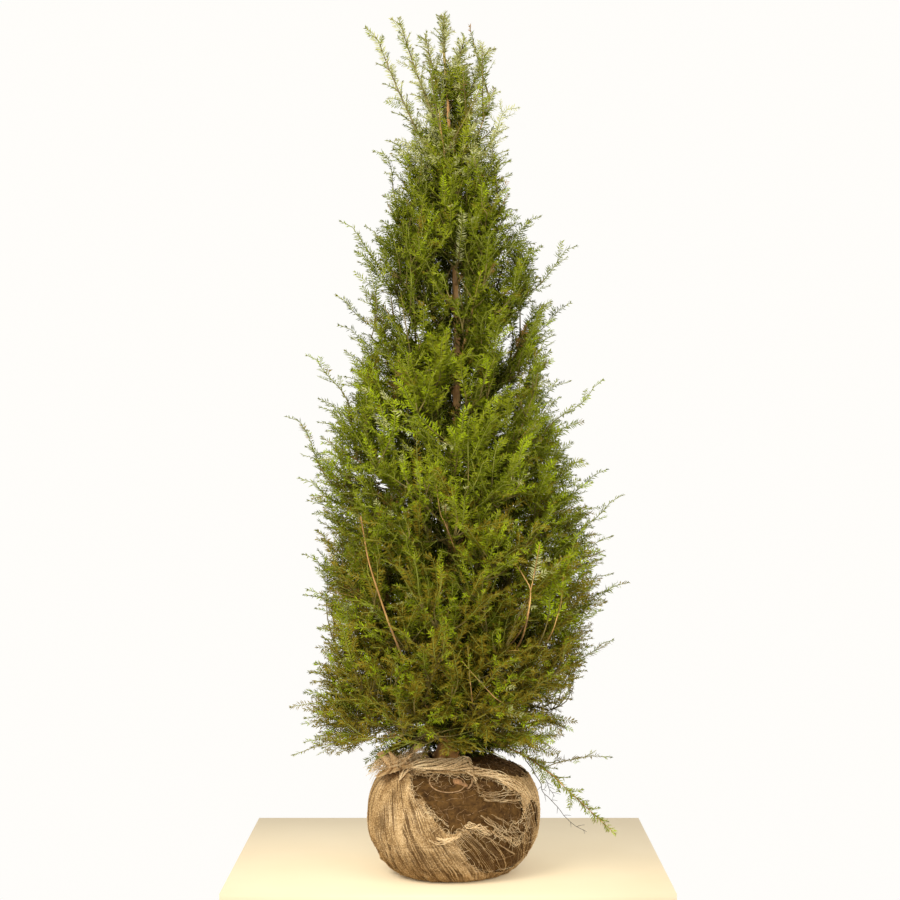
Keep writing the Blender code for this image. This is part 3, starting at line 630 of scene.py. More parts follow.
def cloth_surface(azimuth, rise, turn):
    """The cloth's outside with its folds, the way out of it, and how far it stands out there."""
    place = ball_surface(azimuth, rise)
    outward = ball_outward(azimuth, rise)
    sway, swerve, patch = [grain(place, size, seed) for size, seed in ((0.09, 51), (0.04, 52), (0.028, 53))]
    gathered = 0.50 + 0.8 * np.clip((-0.10 - rise) / 0.6, 0, 1) + 0.7 * np.clip((rise - 0.65) / 0.4, 0, 1)
    lift = FINE_FOLD * (0.8 + 0.5 * patch) * gathered * np.cos(FOLDS * turn)
    for count, warp, height in WIDE_FOLDS:
        phase = count * turn + warp * (2.0 * sway + swerve)
        lift = lift + height * gathered * (0.78 + 0.9 * patch) * (1 - 2 * np.abs(np.sin(phase / 2)) ** 0.8)
    for course in LAPS:
        lap = lap_lift(place[..., [0, 2]].reshape(-1, 2), course).reshape(turn.shape)
        lap = np.where(place[..., 1] < 0.02, lap, 0.0) * np.clip((place[..., 2] - 0.060) / 0.060, 0, 1)
        lift = lift + LAP_HEIGHT * lap
    edge = np.clip(cloth_left(azimuth, rise), 0, 1)
    lift = lift + EDGE_LIFT * np.exp(-edge / 0.006)
    lift = lift * np.clip((rise + math.radians(84)) / 0.3, 0.05, 1)
    return place + outward * lift[..., None], outward, lift


def make_jute_finish(name, shade, dark, mid, pale, wide):
    """Jute: straw-coloured fibres with darker slubs, with painted shade down in the folds and pale on their
    backs.
    """
    finish = Finish(name, mid, 0.88)
    where = finish.place()
    cloudy = finish.noise(where, 19.0, 4.0, 0.6)
    slubs = finish.noise(where, 330.0, 3.0, 0.65)
    colour = finish.ramp(cloudy * 0.4 + slubs * 0.6, ((0.38, dark), (0.49, mid), (0.63, pale)))
    # The raised attribute paints shade into the cloth's folds, and gives loose strands their own paleness.
    raised = finish.node("Attribute", {"attribute_name": "raised"}, {}, 2)
    colour = finish.mix(finish.fade(raised, 0.12, 0.56, 0.1), shade, colour)
    # The cloth is darker towards the bottom of the ball.
    low_darkening = finish.span(finish.height(where) + 0.03 * cloudy, 0.115, 0.030, 0.34)
    finish.show("Base Color", finish.mix(low_darkening, colour, shade))
    finish.show("Roughness", 0.78 + 0.2 * slubs)
    finish.show("Specular IOR Level", DULL)
    finish.bump(slubs, 0.5, wide)
    return finish.material


def mark_raised(piece, lift):
    """Keeps how far each corner stands out of the cloth, from 0 in the folds to 1 on their backs."""
    # The jute finishes paint shade into the cloth's folds from this.
    share = np.clip((lift.ravel() + 0.0040) / 0.0085, 0, 1).astype(np.float32)
    piece.data.attributes.new("raised", "FLOAT", "POINT").data.foreach_set("value", share)


def used_only(corners, faces, lift):
    """Leaves out the corners that no face uses."""
    used, at = np.unique(faces, return_inverse=True)
    return corners.reshape(-1, 3)[used], [at.reshape(faces.shape)], lift.ravel()[used]


def make_cloth(finish):
    distance, turn = np.meshgrid(cloth_distances(CLOTH_RINGS), around(2 * FOLDS), indexing="ij")
    azimuth, rise = fan_from_knot(turn, distance)
    step = 1e-3
    for _ in range(3):
        left = cloth_left(azimuth, rise, True)
        slope_a = (cloth_left(azimuth + step, rise, True) - left) / step
        slope_r = (cloth_left(azimuth, rise + step, True) - left) / step
        steep = slope_a**2 + slope_r**2 + 1e-8
        near = np.abs(left) < 0.0028
        azimuth = np.where(near, azimuth - left * slope_a / steep, azimuth)
        rise = np.where(near, rise - left * slope_r / steep, rise)
    kept = cloth_left(azimuth, rise, True) > -0.0005
    outside, outward, lift = cloth_surface(azimuth, rise, turn)
    outside[..., 2] = np.maximum(outside[..., 2], CLOTH_FLOOR)
    inside = outside - outward * CLOTH_WALL
    inside[..., 2] = np.maximum(inside[..., 2], 2 * CLOTH_FLOOR)
    faces = grid_faces(CLOTH_RINGS, 2 * FOLDS)[:, ::-1]
    faces = faces[kept.ravel()[faces].all(axis=1)]
    count = kept.size
    edges = np.vstack([faces[:, [at, (at + 1) % 4]] for at in range(4)])
    rim = edges[~np.isin(edges[:, 0] * count + edges[:, 1], edges[:, 1] * count + edges[:, 0])]
    walls = np.stack([rim[:, 1], rim[:, 0], rim[:, 0] + count, rim[:, 1] + count], axis=-1)
    faces = np.vstack([faces, faces[:, ::-1] + count, walls])
    corners, groups, lift = used_only(np.stack([outside, inside]), faces, np.stack([lift, lift]))
    piece = make_piece("hessian_cloth", corners, groups, finish)
    mark_raised(piece, lift)
    return piece


settle(make_cloth(make_jute_finish("jute_ground", *JUTE, 0.0006)), "hessian", "hessian_wrap")


# Threads of the hessian
# The jute's own threads, about 2 mm wide, drawn together along the folds and crossed by finer ones.
# Below the tear only some are left, and a few trail past its edge over the soil.
WARP_WIDTH = 0.0024
WEFT_WIDTH = 0.0015
THREAD_HEIGHT = 0.0010
THREAD_LIFT = 0.0003
THREAD_TONE = 0.0022
THREAD_SWAY = 0.017
WEFT_SWAY = 0.05
CROSS_THREADS = 74
WORN_KEEP = ((0.02, 0.95), (0.09, 0.78), (0.17, 0.44))
WEFT_KEEP = 0.40
WORN_THIN = 0.42
WORN_DARK = 0.0022
LOOSE_REACH = 0.012


def woven(azimuth, rise, turn, width, kept, height, tone):
    """Ribbons with a raised middle along rows of places on the cloth, where they are kept."""
    place, outward, lift = cloth_surface(azimuth, rise, turn)
    bared = np.clip(0.5 - cloth_left(azimuth, rise, True) / 0.01, 0, 1)
    wide = (width * (1 - WORN_THIN * bared))[..., None]
    aside = np.cross(unit(np.gradient(place, axis=1)), outward) * wide / 2
    low = place + outward * (height - THREAD_HEIGHT)[..., None]
    corners = np.stack([low - aside, place + outward * height[..., None], low + aside], axis=2)
    corners[..., 2] = np.maximum(corners[..., 2], CLOTH_FLOOR)
    row, column = np.nonzero(kept[:, :-1] & kept[:, 1:])
    first = (row * kept.shape[1] + column) * 3
    faces = np.vstack([np.stack([at, at + 1, at + 4, at + 3], axis=-1) for at in (first, first + 1)])
    # The threads take the cloth's painted fold shade, are darker where the weave is worn, and each has its
    # own tone.
    return used_only(corners, faces, np.repeat((lift - WORN_DARK * bared).ravel() + 0.0006 + tone, 3))


def make_threads(name, finish, along, width, rng):
    if along:
        turn, distance = np.meshgrid(around(2 * FOLDS), cloth_distances(CLOTH_RINGS), indexing="ij")
    else:
        closed = np.append(around(2 * FOLDS), 2 * math.pi)
        distance, turn = np.meshgrid(cloth_distances(CROSS_THREADS), closed, indexing="ij")
    number, step = np.indices(turn.shape)
    threads = (len(turn), 1)
    wander = grain(np.stack([number * 0.37, step * 0.24, number * 0.11], axis=-1), 1.0, 61)
    over = np.where((number + step) % 2, 1.0, -1.0) * (1 if along else -1)
    if along:
        azimuth, rise = fan_from_knot(turn + THREAD_SWAY * wander, distance)
    else:
        azimuth, rise = fan_from_knot(turn, distance * (1 + WEFT_SWAY * wander))
    left = cloth_left(azimuth, rise)
    kept = (left > -LOOSE_REACH * rng.uniform(0, 1, threads) ** 3) & (rise > math.radians(-85))
    thin = (cloth_left(azimuth, rise, True) < 0) & (left > 0)
    keep = np.interp(ball_surface(azimuth, rise)[..., 0], *np.transpose(WORN_KEEP)) if along else WEFT_KEEP
    kept &= ~(thin & (rng.uniform(0, 1, threads) > keep))
    if not along:
        kept &= grain(np.stack([wander * 3, turn * 2, distance], axis=-1), 0.7, 62) > -0.25
    height = THREAD_LIFT + 0.0004 * over + 0.0005 + 0.0003 * wander
    tone = (rng.normal(0, THREAD_TONE, threads) + 0 * turn).ravel()
    corners, groups, raised = woven(azimuth, rise, turn, width, kept, height, tone)
    piece = make_piece(name, corners, groups, finish)
    mark_raised(piece, raised)
    return piece


jute_finish = make_jute_finish("jute_thread", *JUTE, 0.0004)
thread_rng = np.random.default_rng(61)
settle(make_threads("hessian_warp", jute_finish, True, WARP_WIDTH, thread_rng), "hessian")
settle(make_threads("hessian_weft", jute_finish, False, WEFT_WIDTH, thread_rng), "hessian")


# Frayed threads
# Threads pulled out along the tear: short fuzz round its edge, a few long ones lying across the soil,
# and a rolled edge of bunched jute from the knot along the top of the tear.
FUZZ = 520
FUZZ_LENGTHS = (0.006, 0.030)
FUZZ_RADIUS = 0.00036
FUZZ_POINTS = 7
# Courses of the long frays, across and up in millimetres.
LONG_FRAYS = (
    ((64, 218), (108, 211), (160, 208)), ((61, 212), (104, 202), (158, 204)),
    ((66, 207), (112, 198), (156, 194)), ((70, 201), (116, 192), (160, 190)),
    ((72, 158), (100, 128), (144, 84)), ((80, 162), (112, 136), (158, 102)),
    ((62, 166), (88, 150), (120, 112)), ((96, 162), (130, 150), (150, 108)),
    ((14, 132), (52, 122), (98, 58)), ((56, 130), (92, 110), (138, 70)),
    ((136, 140), (160, 120), (172, 96)), ((158, 200), (172, 160), (176, 120)),
    ((118, 232), (156, 216), (174, 186)), ((-52, 176), (-30, 168), (-10, 146)),
    ((46, 246), (58, 232), (64, 214)),
)
FRAY_RADII = (0.00036, 0.00052, 0.00052)
# Bunches of threads: how many strands, how far they spread, their radius, and their course.
# All but the first are in millimetres.
BUNCHES = (
    (34, 8.0, 1.4, ((-110, 262), (-80, 268), (-40, 267), (0, 267), (28, 266), (44, 256))),
    (18, 8.0, 1.0, ((-146, 252), (-128, 262), (-104, 268), (-78, 266))),
    (12, 6.0, 1.0, ((-120, 240), (-108, 252), (-90, 262), (-60, 264))),
    (5, 2.0, 1.0, ((20, 267), (38, 260), (48, 248), (56, 238))),
    (12, 5.8, 1.2, ((46, 258), (86, 250), (124, 234), (156, 208))),
    (11, 7.5, 0.7, ((30, 148), (48, 147), (62, 141), (80, 130))),
    (10, 4.0, 0.9, ((-36, 120), (-18, 116), (2, 120), (20, 128))),
    (4, 3.6, 0.8, ((-52, 114), (-34, 108), (-16, 112), (4, 118))),
)
STRAND_POINTS = 26
STRAND_SIDES = 5
FRAY_SHADES = (JUTE[1], (0.430, 0.265, 0.115), (0.800, 0.575, 0.300), (1.000, 0.820, 0.510))


def smooth_line(points, count):
    """Evenly stepped points on a smooth curve that passes through all the given points."""
    line = np.array(points, dtype=float)
    spans = len(line) - 1
    line = np.vstack([2 * line[0] - line[1], line, 2 * line[-1] - line[-2]])
    place = np.linspace(0.0, spans, count)
    span = np.minimum(place.astype(int), spans - 1)
    along = (place - span)[:, None]
    before, start, end, after = [line[span + shift] for shift in range(4)]
    return (
        start
        + 0.5 * along * (end - before)
        + along**2 * (before - 2.5 * start + 2 * end - 0.5 * after)
        + along**3 * (1.5 * (start - end) + 0.5 * (after - before))
    )


def bent_line(start, bend, end, count):
    """Points on a curve that leaves start towards bend and arrives at end from bend."""
    share = np.linspace(0.0, 1.0, count)[:, None]
    return (1 - share) ** 2 * start + 2 * share * (1 - share) * bend + share**2 * end


def make_strand_pattern():
    """Round strands along the edges of the starting mesh, as thick as its corners say."""
    strand = Pattern("strands", (("Sides", "Int"),))
    curve = strand.node("GeometryNodeMeshToCurve", {}, {"Mesh": strand.given["Geometry"]})
    circle = {"Resolution": strand.given["Sides"], "Radius": 1.0}
    circle = strand.node("GeometryNodeCurvePrimitiveCircle", {}, circle)
    thick = strand.node("GeometryNodeInputNamedAttribute", {"data_type": "FLOAT"}, {"Name": "thick"})
    inputs = {"Curve": curve, "Profile Curve": circle, "Scale": thick, "Fill Caps": True}
    strand.end(strand.node("GeometryNodeCurveToMesh", {}, inputs))
    return strand


def make_strands(name, lines, radii, sides, finish, raised=1.0):
    """One mesh of round strands from (strands, points, 3) places, their radii and how pale they are."""
    lines = np.asarray(lines, dtype=float)
    count, points = lines.shape[:2]
    first = (np.arange(count)[:, None] * points + np.arange(points - 1)).ravel()
    start = bpy.data.meshes.new(name + "_lines")
    start.from_pydata(lines.reshape(-1, 3).tolist(), np.column_stack([first, first + 1]).tolist(), [])
    pale = np.broadcast_to(raised, (points, count)).T
    for label, values in (("thick", np.broadcast_to(radii, (count, points))), ("raised", pale)):
        kept = start.attributes.new(label, "FLOAT", "POINT")
        kept.data.foreach_set("value", values.ravel().astype(np.float32))
    piece = strand_pattern.make(name, start, {"Sides": sides, "Material": finish})
    piece.data.shade_smooth()
    return piece


def make_fuzz(finish):
    rng = np.random.default_rng(71)
    share = np.linspace(0, 1, FUZZ_POINTS)
    edges = np.vstack([TEAR_EDGE, TEAR_EDGE, WORN_EDGE])
    starts = edges[rng.integers(0, len(edges), FUZZ)] + rng.normal(0, 0.0025, (FUZZ, 2))
    ways = rng.uniform(0, 2 * math.pi, FUZZ)
    lengths = rng.uniform(0, 1, FUZZ) ** 2 * (FUZZ_LENGTHS[1] - FUZZ_LENGTHS[0]) + FUZZ_LENGTHS[0]
    turned = ways[:, None] + rng.normal(0, 1.1, FUZZ)[:, None] * share
    across = starts[:, :1] + lengths[:, None] * share * np.cos(turned)
    up = np.clip(starts[:, 1:] + lengths[:, None] * share * np.sin(turned), 0.03, 0.268)
    lift = 0.0012 + rng.uniform(0, 0.006, (FUZZ, 1)) * share**1.5 - 0.003 * share
    radii = FUZZ_RADIUS * np.linspace(1.2, 0.7, FUZZ_POINTS) * rng.uniform(0.7, 1.3, (FUZZ, 1))
    return make_strands("hessian_fuzz", on_soil(across, up, lift), radii, 3, finish)


def make_frays(finish):
    rng = np.random.default_rng(72)
    share = np.linspace(0, 1, STRAND_POINTS)
    lines = []
    radii = []
    pale = []
    for number, points in enumerate(np.array(LONG_FRAYS) / 1000):
        for strand, radius in enumerate(FRAY_RADII):
            shift = rng.normal(0, 0.0034, (3, 2))
            pale.append(rng.uniform(0.16, 0.42))
            path = bent_line(*(points + shift), STRAND_POINTS)
            path += 0.0012 * np.column_stack([np.sin(share * 13 + number), np.cos(share * 17 + strand)])
            lift = 0.0006 + 0.0018 * np.abs(np.sin(share * 9 + number * 2 + strand))
            lines.append(on_soil(path[:, 0], path[:, 1], lift))
            radii.append(np.full(STRAND_POINTS, radius))
    for strands, spread, thick, course in BUNCHES:
        middle = smooth_line(np.array(course) / 1000, STRAND_POINTS)
        for strand in range(strands):
            turn = 2 * math.pi * strand / strands + share * 5 + rng.normal(0, 0.4)
            wide = spread / 1000 * rng.uniform(0.35, 1.1) * (1 + 0.5 * share * rng.uniform(0, 1))
            path = middle + wide[:, None] * np.column_stack([0.5 * np.cos(turn), np.sin(turn)])
            lift = 0.0020 + wide * (0.7 + 0.7 * np.cos(turn)) + 0.0006 * np.sin(share * 23 + strand)
            line = on_soil(path[:, 0], path[:, 1], lift)
            cut = STRAND_POINTS - int(rng.uniform(0, 6))
            line[cut:] = line[cut - 1] + (line[cut:] - line[cut - 1]) * rng.uniform(0.2, 1.0)
            lines.append(line)
            radii.append(rng.uniform(0.6, 1.1) * thick / 1000 * np.linspace(1.1, 0.7, STRAND_POINTS))
            pale.append(rng.uniform(0.55, 1.0))
    return make_strands("hessian_frays", lines, np.array(radii), STRAND_SIDES, finish, pale)


strand_pattern = make_strand_pattern()
fray_finish = make_jute_finish("jute_fray", *FRAY_SHADES, 0.0003)
settle(make_fuzz(fray_finish), "hessian")
settle(make_frays(fray_finish), "hessian")


# Knot of the wrap
# The corners of the jute square are twisted together and tied at the upper left of the ball.
# Above the tie the cloth flares into a short ruffle with loose threads.
KNOT_NECK = 0.0225
KNOT_WAIST = 0.30
KNOT_HEIGHT = 0.034
KNOT_FLARE = 0.027
KNOT_LOBES = 9
KNOT_LEAN = (-0.30, 0.05, 1.0)
KNOT_STRETCH = 0.90
KNOT_SHIFT = 0.016
KNOT_WALL = 0.0014
KNOT_SIDES = 132
KNOT_RINGS = 34
KNOT_SHADES = (JUTE[1], (0.40, 0.215, 0.085), (0.60, 0.390, 0.175), (0.82, 0.600, 0.330))
KNOT_FUZZ = 460
KNOT_FUZZ_LENGTHS = (0.006, 0.040)
KNOT_FUZZ_RADIUS = 0.00042
TIE_RADIUS = 0.0006
TIE_POINTS = 90


def knot_frame():
    base = off_ball(np.array([KNOT_AZIMUTH]), np.array([KNOT_RISE]), 0.001)[0]
    axis = unit(np.array(KNOT_LEAN))
    across = unit(np.cross(axis, (0.0, 1.0, 0.0)))
    return base, axis, across, np.cross(axis, across)


def make_knot(finish):
    base, axis, across, upward = knot_frame()
    share, turn = np.meshgrid(np.linspace(0, 1, KNOT_RINGS), around(KNOT_SIDES), indexing="ij")
    foot = np.clip(1 - share / KNOT_WAIST, 0, 1) ** 2
    crown = np.clip((share - KNOT_WAIST) / (1 - KNOT_WAIST), 0, 1) ** 1.3
    wave = np.sin(KNOT_LOBES * turn + 2.5 * share + 1.2 * np.sin(turn))
    fine = np.sin(3 * KNOT_LOBES * turn - 3 * share)
    lumps = grain(np.stack([np.cos(turn), np.sin(turn), 1.5 * share], axis=-1), 0.8, 82)
    radius = KNOT_NECK * (1 + 1.5 * foot) + (KNOT_FLARE - KNOT_NECK) * crown
    radius = radius * (1 + 0.10 * fine * (1 - 0.5 * crown) + 0.14 * wave * (0.5 + crown) + 0.20 * lumps)
    height = KNOT_HEIGHT * share + 0.009 * crown * np.sin(2 * turn + 1.0) + 0.004 * crown * wave
    height += crown * (0.006 * np.sin(5 * turn + 2.0) + 0.005 * np.sin(13 * turn + 0.5 * np.sin(3 * turn)))
    centre = base + axis * height[..., None] - across * (KNOT_SHIFT * crown)[..., None]
    wide = np.cos(turn) * (1 + KNOT_STRETCH * crown)
    out = wide[..., None] * across + (np.sin(turn) * (1 - 0.3 * crown))[..., None] * upward
    outside = centre + out * radius[..., None]
    inside = centre + out * np.maximum(radius - KNOT_WALL, 0.001)[..., None] + axis * 0.0004
    faces = grid_faces(KNOT_RINGS, KNOT_SIDES)
    count = share.size
    side = np.arange(KNOT_SIDES)
    after = (side + 1) % KNOT_SIDES
    foot_rim = np.stack([after, side, side + count, after + count], axis=-1)
    top_rim = foot_rim[:, ::-1] + count - KNOT_SIDES
    faces = np.vstack([faces, faces[:, ::-1] + count, foot_rim, top_rim])
    piece = make_piece("hessian_knot", np.stack([outside, inside]), [faces], finish)
    # Painted shade in the knot's folds, by its lobes.
    mark_raised(piece, np.tile((0.0035 * wave + 0.0008).ravel(), 2))
    return piece


def make_knot_threads(finish):
    rng = np.random.default_rng(81)
    base, axis, across, upward = knot_frame()
    turn = np.linspace(0, 2 * math.pi * 3, TIE_POINTS)
    wrap = base + axis * (KNOT_HEIGHT * 0.27 + 0.0016 * turn / 6)[:, None]
    wrap = wrap + spoke(turn, across, upward) * (KNOT_NECK * 1.22)
    tie = make_strands("knot_tie", wrap[None], TIE_RADIUS, 6, finish, 0.5)
    start = rng.uniform(0, 2 * math.pi, KNOT_FUZZ)
    rim = KNOT_FLARE * rng.uniform(0.5, 1.2, KNOT_FUZZ)
    length = rng.uniform(*KNOT_FUZZ_LENGTHS, KNOT_FUZZ)[:, None, None]
    out = np.cos(start)[:, None] * across * (1 + KNOT_STRETCH) + np.sin(start)[:, None] * upward * 0.7
    high = rng.uniform(0.25, 0.95, KNOT_FUZZ)[:, None]
    root = base + axis * KNOT_HEIGHT * high - across * KNOT_SHIFT * high + out * rim[:, None]
    lift = unit(axis + rng.normal(0, 0.7, (KNOT_FUZZ, 3)) + out * 0.6)
    share = np.linspace(0, 1, 8)[None, :, None]
    droop = np.array((0.0, 0.0, -1.0)) * share**2 * length * 0.6
    lines = root[:, None] + lift[:, None] * share * length + droop
    return tie, make_strands("knot_threads", lines, KNOT_FUZZ_RADIUS, 3, finish)


settle(make_knot(make_jute_finish("jute_knot", *KNOT_SHADES, 0.0006)), "hessian")
for threads in make_knot_threads(fray_finish):
    settle(threads, "hessian")


# Trunk
# One straight leader from the ball to the top shoot, with thin reddish bark that flakes in upright scales.
# Its foot flares into the soil, and the bark is orange-brown there. The line is in millimetres.
TRUNK_LINE = ((-13, 0, 274), (-6, 8, 620), (10, -4, 1130), (6, 4, 1420), (-10, 0, 1800), (-20, 2, 1940))
TRUNK_TOP = 1.94
TRUNK_FOOT_RADIUS = 0.0175
TRUNK_TIP_RADIUS = 0.0030
TRUNK_TAPER = 1.4
FLARE = 0.014
FLARE_HEIGHT = 0.020
TRUNK_SINK = 0.0039
TRUNK_SIDES = 44
TRUNK_RINGS = 520
BARK_SCALES = ((0.0040, 0.030, 0.00100), (0.0020, 0.011, 0.00050))
BARK = ((0.660, 0.340, 0.115), (0.950, 0.610, 0.240), (0.360, 0.210, 0.090))
BARK_FOOT = (0.70, 0.320, 0.090)
BARK_TIP = (0.260, 0.215, 0.060)
FOOT_TOP = 0.33
TIP_FOOT = 1.80

trunk_course = smooth_line(np.array(TRUNK_LINE) / 1000, 60)


def trunk_point(height):
    """The middle of the trunk at a height."""
    return np.stack([np.interp(height, trunk_course[:, 2], part) for part in trunk_course.T], axis=-1)


def trunk_radius(height):
    share = np.clip((height - BALL_HEIGHT) / (TRUNK_TOP - BALL_HEIGHT), 0, 1)
    slender = TRUNK_TIP_RADIUS + (TRUNK_FOOT_RADIUS - TRUNK_TIP_RADIUS) * (1 - share) ** TRUNK_TAPER
    return slender + FLARE * np.exp(-np.maximum(height - BALL_HEIGHT, 0) / FLARE_HEIGHT)


def make_bark_finish(name, red, orange, grey, foot=None):
    """Thin bark: reddish, paler orange where a scale has come away, with a grey bloom, and its own foot."""
    finish = Finish(name, red, 0.82)
    where = finish.place()
    scales = finish.noise(where, 75.0, 5.0, 0.62, (1.0, 1.0, 0.22))
    bloom = finish.noise(where, 24.0, 3.0, 0.5, (1.0, 1.0, 0.4))
    colour = finish.ramp(scales, ((0.36, grey), (0.50, red), (0.66, orange)))
    colour = finish.mix(finish.fade(bloom, 0.50, 0.72, 0.0, 0.6), colour, grey)
    if foot:
        height = finish.height(where)
        colour = finish.mix(finish.span(height, FOOT_TOP + 0.03, FOOT_TOP - 0.03, 0.8), colour, foot)
        colour = finish.mix(finish.span(height, TIP_FOOT, TIP_FOOT + 0.10, 0.9), colour, BARK_TIP)
    finish.show("Base Color", colour)
    finish.show("Roughness", 0.66 + 0.26 * scales)
    finish.bump(scales, 0.6, 0.0012)
    return finish.material


def bark_relief(corners, centres, scale):
    """Moves a limb's corners in and out by the upright scales and furrows of its bark."""
    lift = 0.0
    for seed, (width, tall, height) in enumerate(BARK_SCALES):
        scaly = grain(corners * (1.0, 1.0, width / tall), width, 90 + seed)
        lift = lift + height * (1 - 2 * np.abs(scaly))
    return corners + unit(corners - centres) * (lift * scale)[:, None]


def make_trunk(finish):
    foot = BALL_HEIGHT - TRUNK_SINK
    heights = foot + (TRUNK_TOP - foot) * np.linspace(0, 1, TRUNK_RINGS) ** 1.08
    line = trunk_point(np.maximum(heights, BALL_HEIGHT))
    line[:, 2] = heights
    radii = trunk_radius(heights)
    corners, groups = sweep(line[None], radii[None], TRUNK_SIDES)
    centres = np.repeat(line, TRUNK_SIDES, axis=0)
    turn = np.tile(around(TRUNK_SIDES), TRUNK_RINGS)
    rise = np.repeat(heights - foot, TRUNK_SIDES)
    buttress = 0.22 * np.exp(-rise / 0.035) * np.sin(5 * turn + 0.7)
    buttress += 0.10 * np.exp(-rise / 0.10) * np.sin(3 * turn)
    corners = centres + (corners - centres) * (1 + buttress)[:, None]
    corners = bark_relief(corners, centres, np.repeat(np.clip(radii / 0.012, 0.25, 1.25), TRUNK_SIDES))
    corners[:, 2] = np.maximum(corners[:, 2], foot)
    return make_piece("trunk_bark", corners, groups, finish)


settle(make_trunk(make_bark_finish("bark", *BARK, BARK_FOOT)), "bark", "trunk")


# Boughs
# Slender limbs that leave the trunk one golden angle apart, level at the foot and steeper towards the top.
# Each runs on through its foliage to the crown's edge, thinning all the way.
# The crown's edge is given as height, reach to the left and reach to the right, in millimetres.
CROWN_EDGE = np.array((
    (250, 240, 170), (320, 330, 250), (440, 330, 290), (550, 320, 330), (760, 320, 360), (870, 330, 320),
    (980, 330, 280), (1120, 270, 240), (1290, 210, 220), (1400, 185, 215), (1510, 185, 185),
    (1610, 150, 130), (1720, 135, 120), (1830, 150, 120), (1940, 190, 110), (2050, 215, 105),
)) / 1000
CROWN_DEPTH = 0.92
CROWN_TOP = 2.027
FOLIAGE_FOOT = 0.285
BALL_CLEARANCE = 0.03
BOUGHS = 24
BOUGH_CROWDING = 1.3
GOLDEN_ANGLE = math.radians(137.5)
FIRST_AZIMUTH = math.radians(110)
BOUGH_HEIGHTS = (0.340, 1.60)
BOUGH_CLIMBS = (math.radians(4), math.radians(66))
BOUGH_ARCHES = (0.030, -0.030)
BOUGH_FOOT_RADII = (0.0085, 0.0040)
BOUGH_COLLAR = 0.0035
BOUGH_WANDER = 0.0028
REACH_STEP = 0.002
LIMB_TIP_RADIUS = 0.0006
BOUGH_POINTS = 64
BOUGH_SIDES = 12
YOUNG_BARK = ((0.42, 0.215, 0.058), (0.66, 0.400, 0.125), (0.200, 0.115, 0.042))
DROOP_LINE = ((-11, 0, 345), (105, -60, 315), (200, -90, 270), (289, -100, 190), (377, -105, 111))
DROOP_RADIUS = 0.0030
# The upright shoots round the top: where each tip is and how high its foot is, in millimetres.
LEADERS = np.array((
    (-37, -4, 2027, 1940), (-207, 20, 2003, 1600), (-143, -45, 2010, 1700),
    (-82, 40, 1987, 1780), (41, -30, 1963, 1830), (101, 35, 1956, 1750),
)) / 1000
LEADER_RADIUS = 0.0034
LEADER_BOW = 0.12
LEADER_HOOK = 0.017


def crown_reach(height, azimuth):
    """Distance from the middle to the crown's edge at a height, in one direction."""
    left, right = [np.interp(height, CROWN_EDGE[:, 0], CROWN_EDGE[:, side]) for side in (1, 2)]
    width = np.where(np.cos(azimuth) < 0, left, right)
    depth = CROWN_DEPTH * (left + right) / 2
    return 1 / np.sqrt((np.cos(azimuth) / width) ** 2 + (np.sin(azimuth) / depth) ** 2)


def bough_axis(number):
    """The line of one bough and of the stem that carries it on, from the trunk to the crown's edge."""
    share = number / (BOUGHS - 1)
    azimuth = FIRST_AZIMUTH + number * GOLDEN_ANGLE
    foot = trunk_point(blend(*BOUGH_HEIGHTS, share**BOUGH_CROWDING))
    climb = blend(*BOUGH_CLIMBS, share)
    outward = np.array((math.cos(azimuth), math.sin(azimuth), math.tan(climb)))
    tip = foot + outward * REACH_STEP
    while math.hypot(tip[0], tip[1]) < crown_reach(tip[2], math.atan2(tip[1], tip[0])):
        tip = tip + outward * REACH_STEP
    bend = (foot + tip) / 2 + np.array((0.0, 0.0, blend(*BOUGH_ARCHES, share)))
    return bent_line(foot, bend, tip, BOUGH_POINTS)


def taper(foot, power):
    along = np.linspace(0, 1, BOUGH_POINTS)
    return LIMB_TIP_RADIUS + (foot - LIMB_TIP_RADIUS) * (1 - along) ** power


def grow_limbs():
    """The lines and radii of all boughs, the drooping shoot and the upright shoots round the leader."""
    lines = [bough_axis(number) for number in range(BOUGHS)]
    radii = [taper(blend(*BOUGH_FOOT_RADII, number / (BOUGHS - 1)), 1.5) for number in range(BOUGHS)]
    lines.append(smooth_line(np.array(DROOP_LINE) / 1000, BOUGH_POINTS))
    radii.append(taper(DROOP_RADIUS, 1.3))
    along = np.linspace(0, 1, BOUGH_POINTS)
    for *tip, foot in LEADERS:
        start = trunk_point(foot)
        level = np.array((tip[0], tip[1], 0.0)) / math.hypot(tip[0], tip[1])
        hook = LEADER_HOOK * (level - (0.0, 0.0, 0.35))
        tip = tip - hook
        bend = (start + tip) / 2 + (tip - start) * LEADER_BOW * np.array((1.0, 1.0, 0.0))
        turned = np.clip((along - 0.90) / 0.10, 0, 1)[:, None] ** 2
        lines.append(bent_line(start, bend, tip, BOUGH_POINTS) + hook * turned)
        radii.append(np.linspace(LEADER_RADIUS, LIMB_TIP_RADIUS, BOUGH_POINTS))
    return np.array(lines), np.array(radii)


def make_boughs(lines, radii, finish):
    wander = BOUGH_WANDER * np.sin(np.linspace(0, 1, BOUGH_POINTS) * math.pi)[None, :, None]
    lines = lines + wander * np.stack([grain(lines, 0.05, seed) for seed in (95, 96, 97)], axis=-1)
    length = np.linalg.norm(np.diff(lines, axis=1), axis=2).cumsum(axis=1)
    length = np.column_stack([np.zeros(len(lines)), length])
    radii = radii + BOUGH_COLLAR * np.exp(-length / 0.016) * (radii[:, :1] / BOUGH_FOOT_RADII[0])
    corners, groups = sweep(lines, radii, BOUGH_SIDES)
    centres = np.repeat(lines.reshape(-1, 3), BOUGH_SIDES, axis=0)
    scale = np.repeat(np.clip(radii.ravel() / 0.012, 0.12, 1.0), BOUGH_SIDES)
    return make_piece("bough_bark", bark_relief(corners, centres, scale), groups, finish)


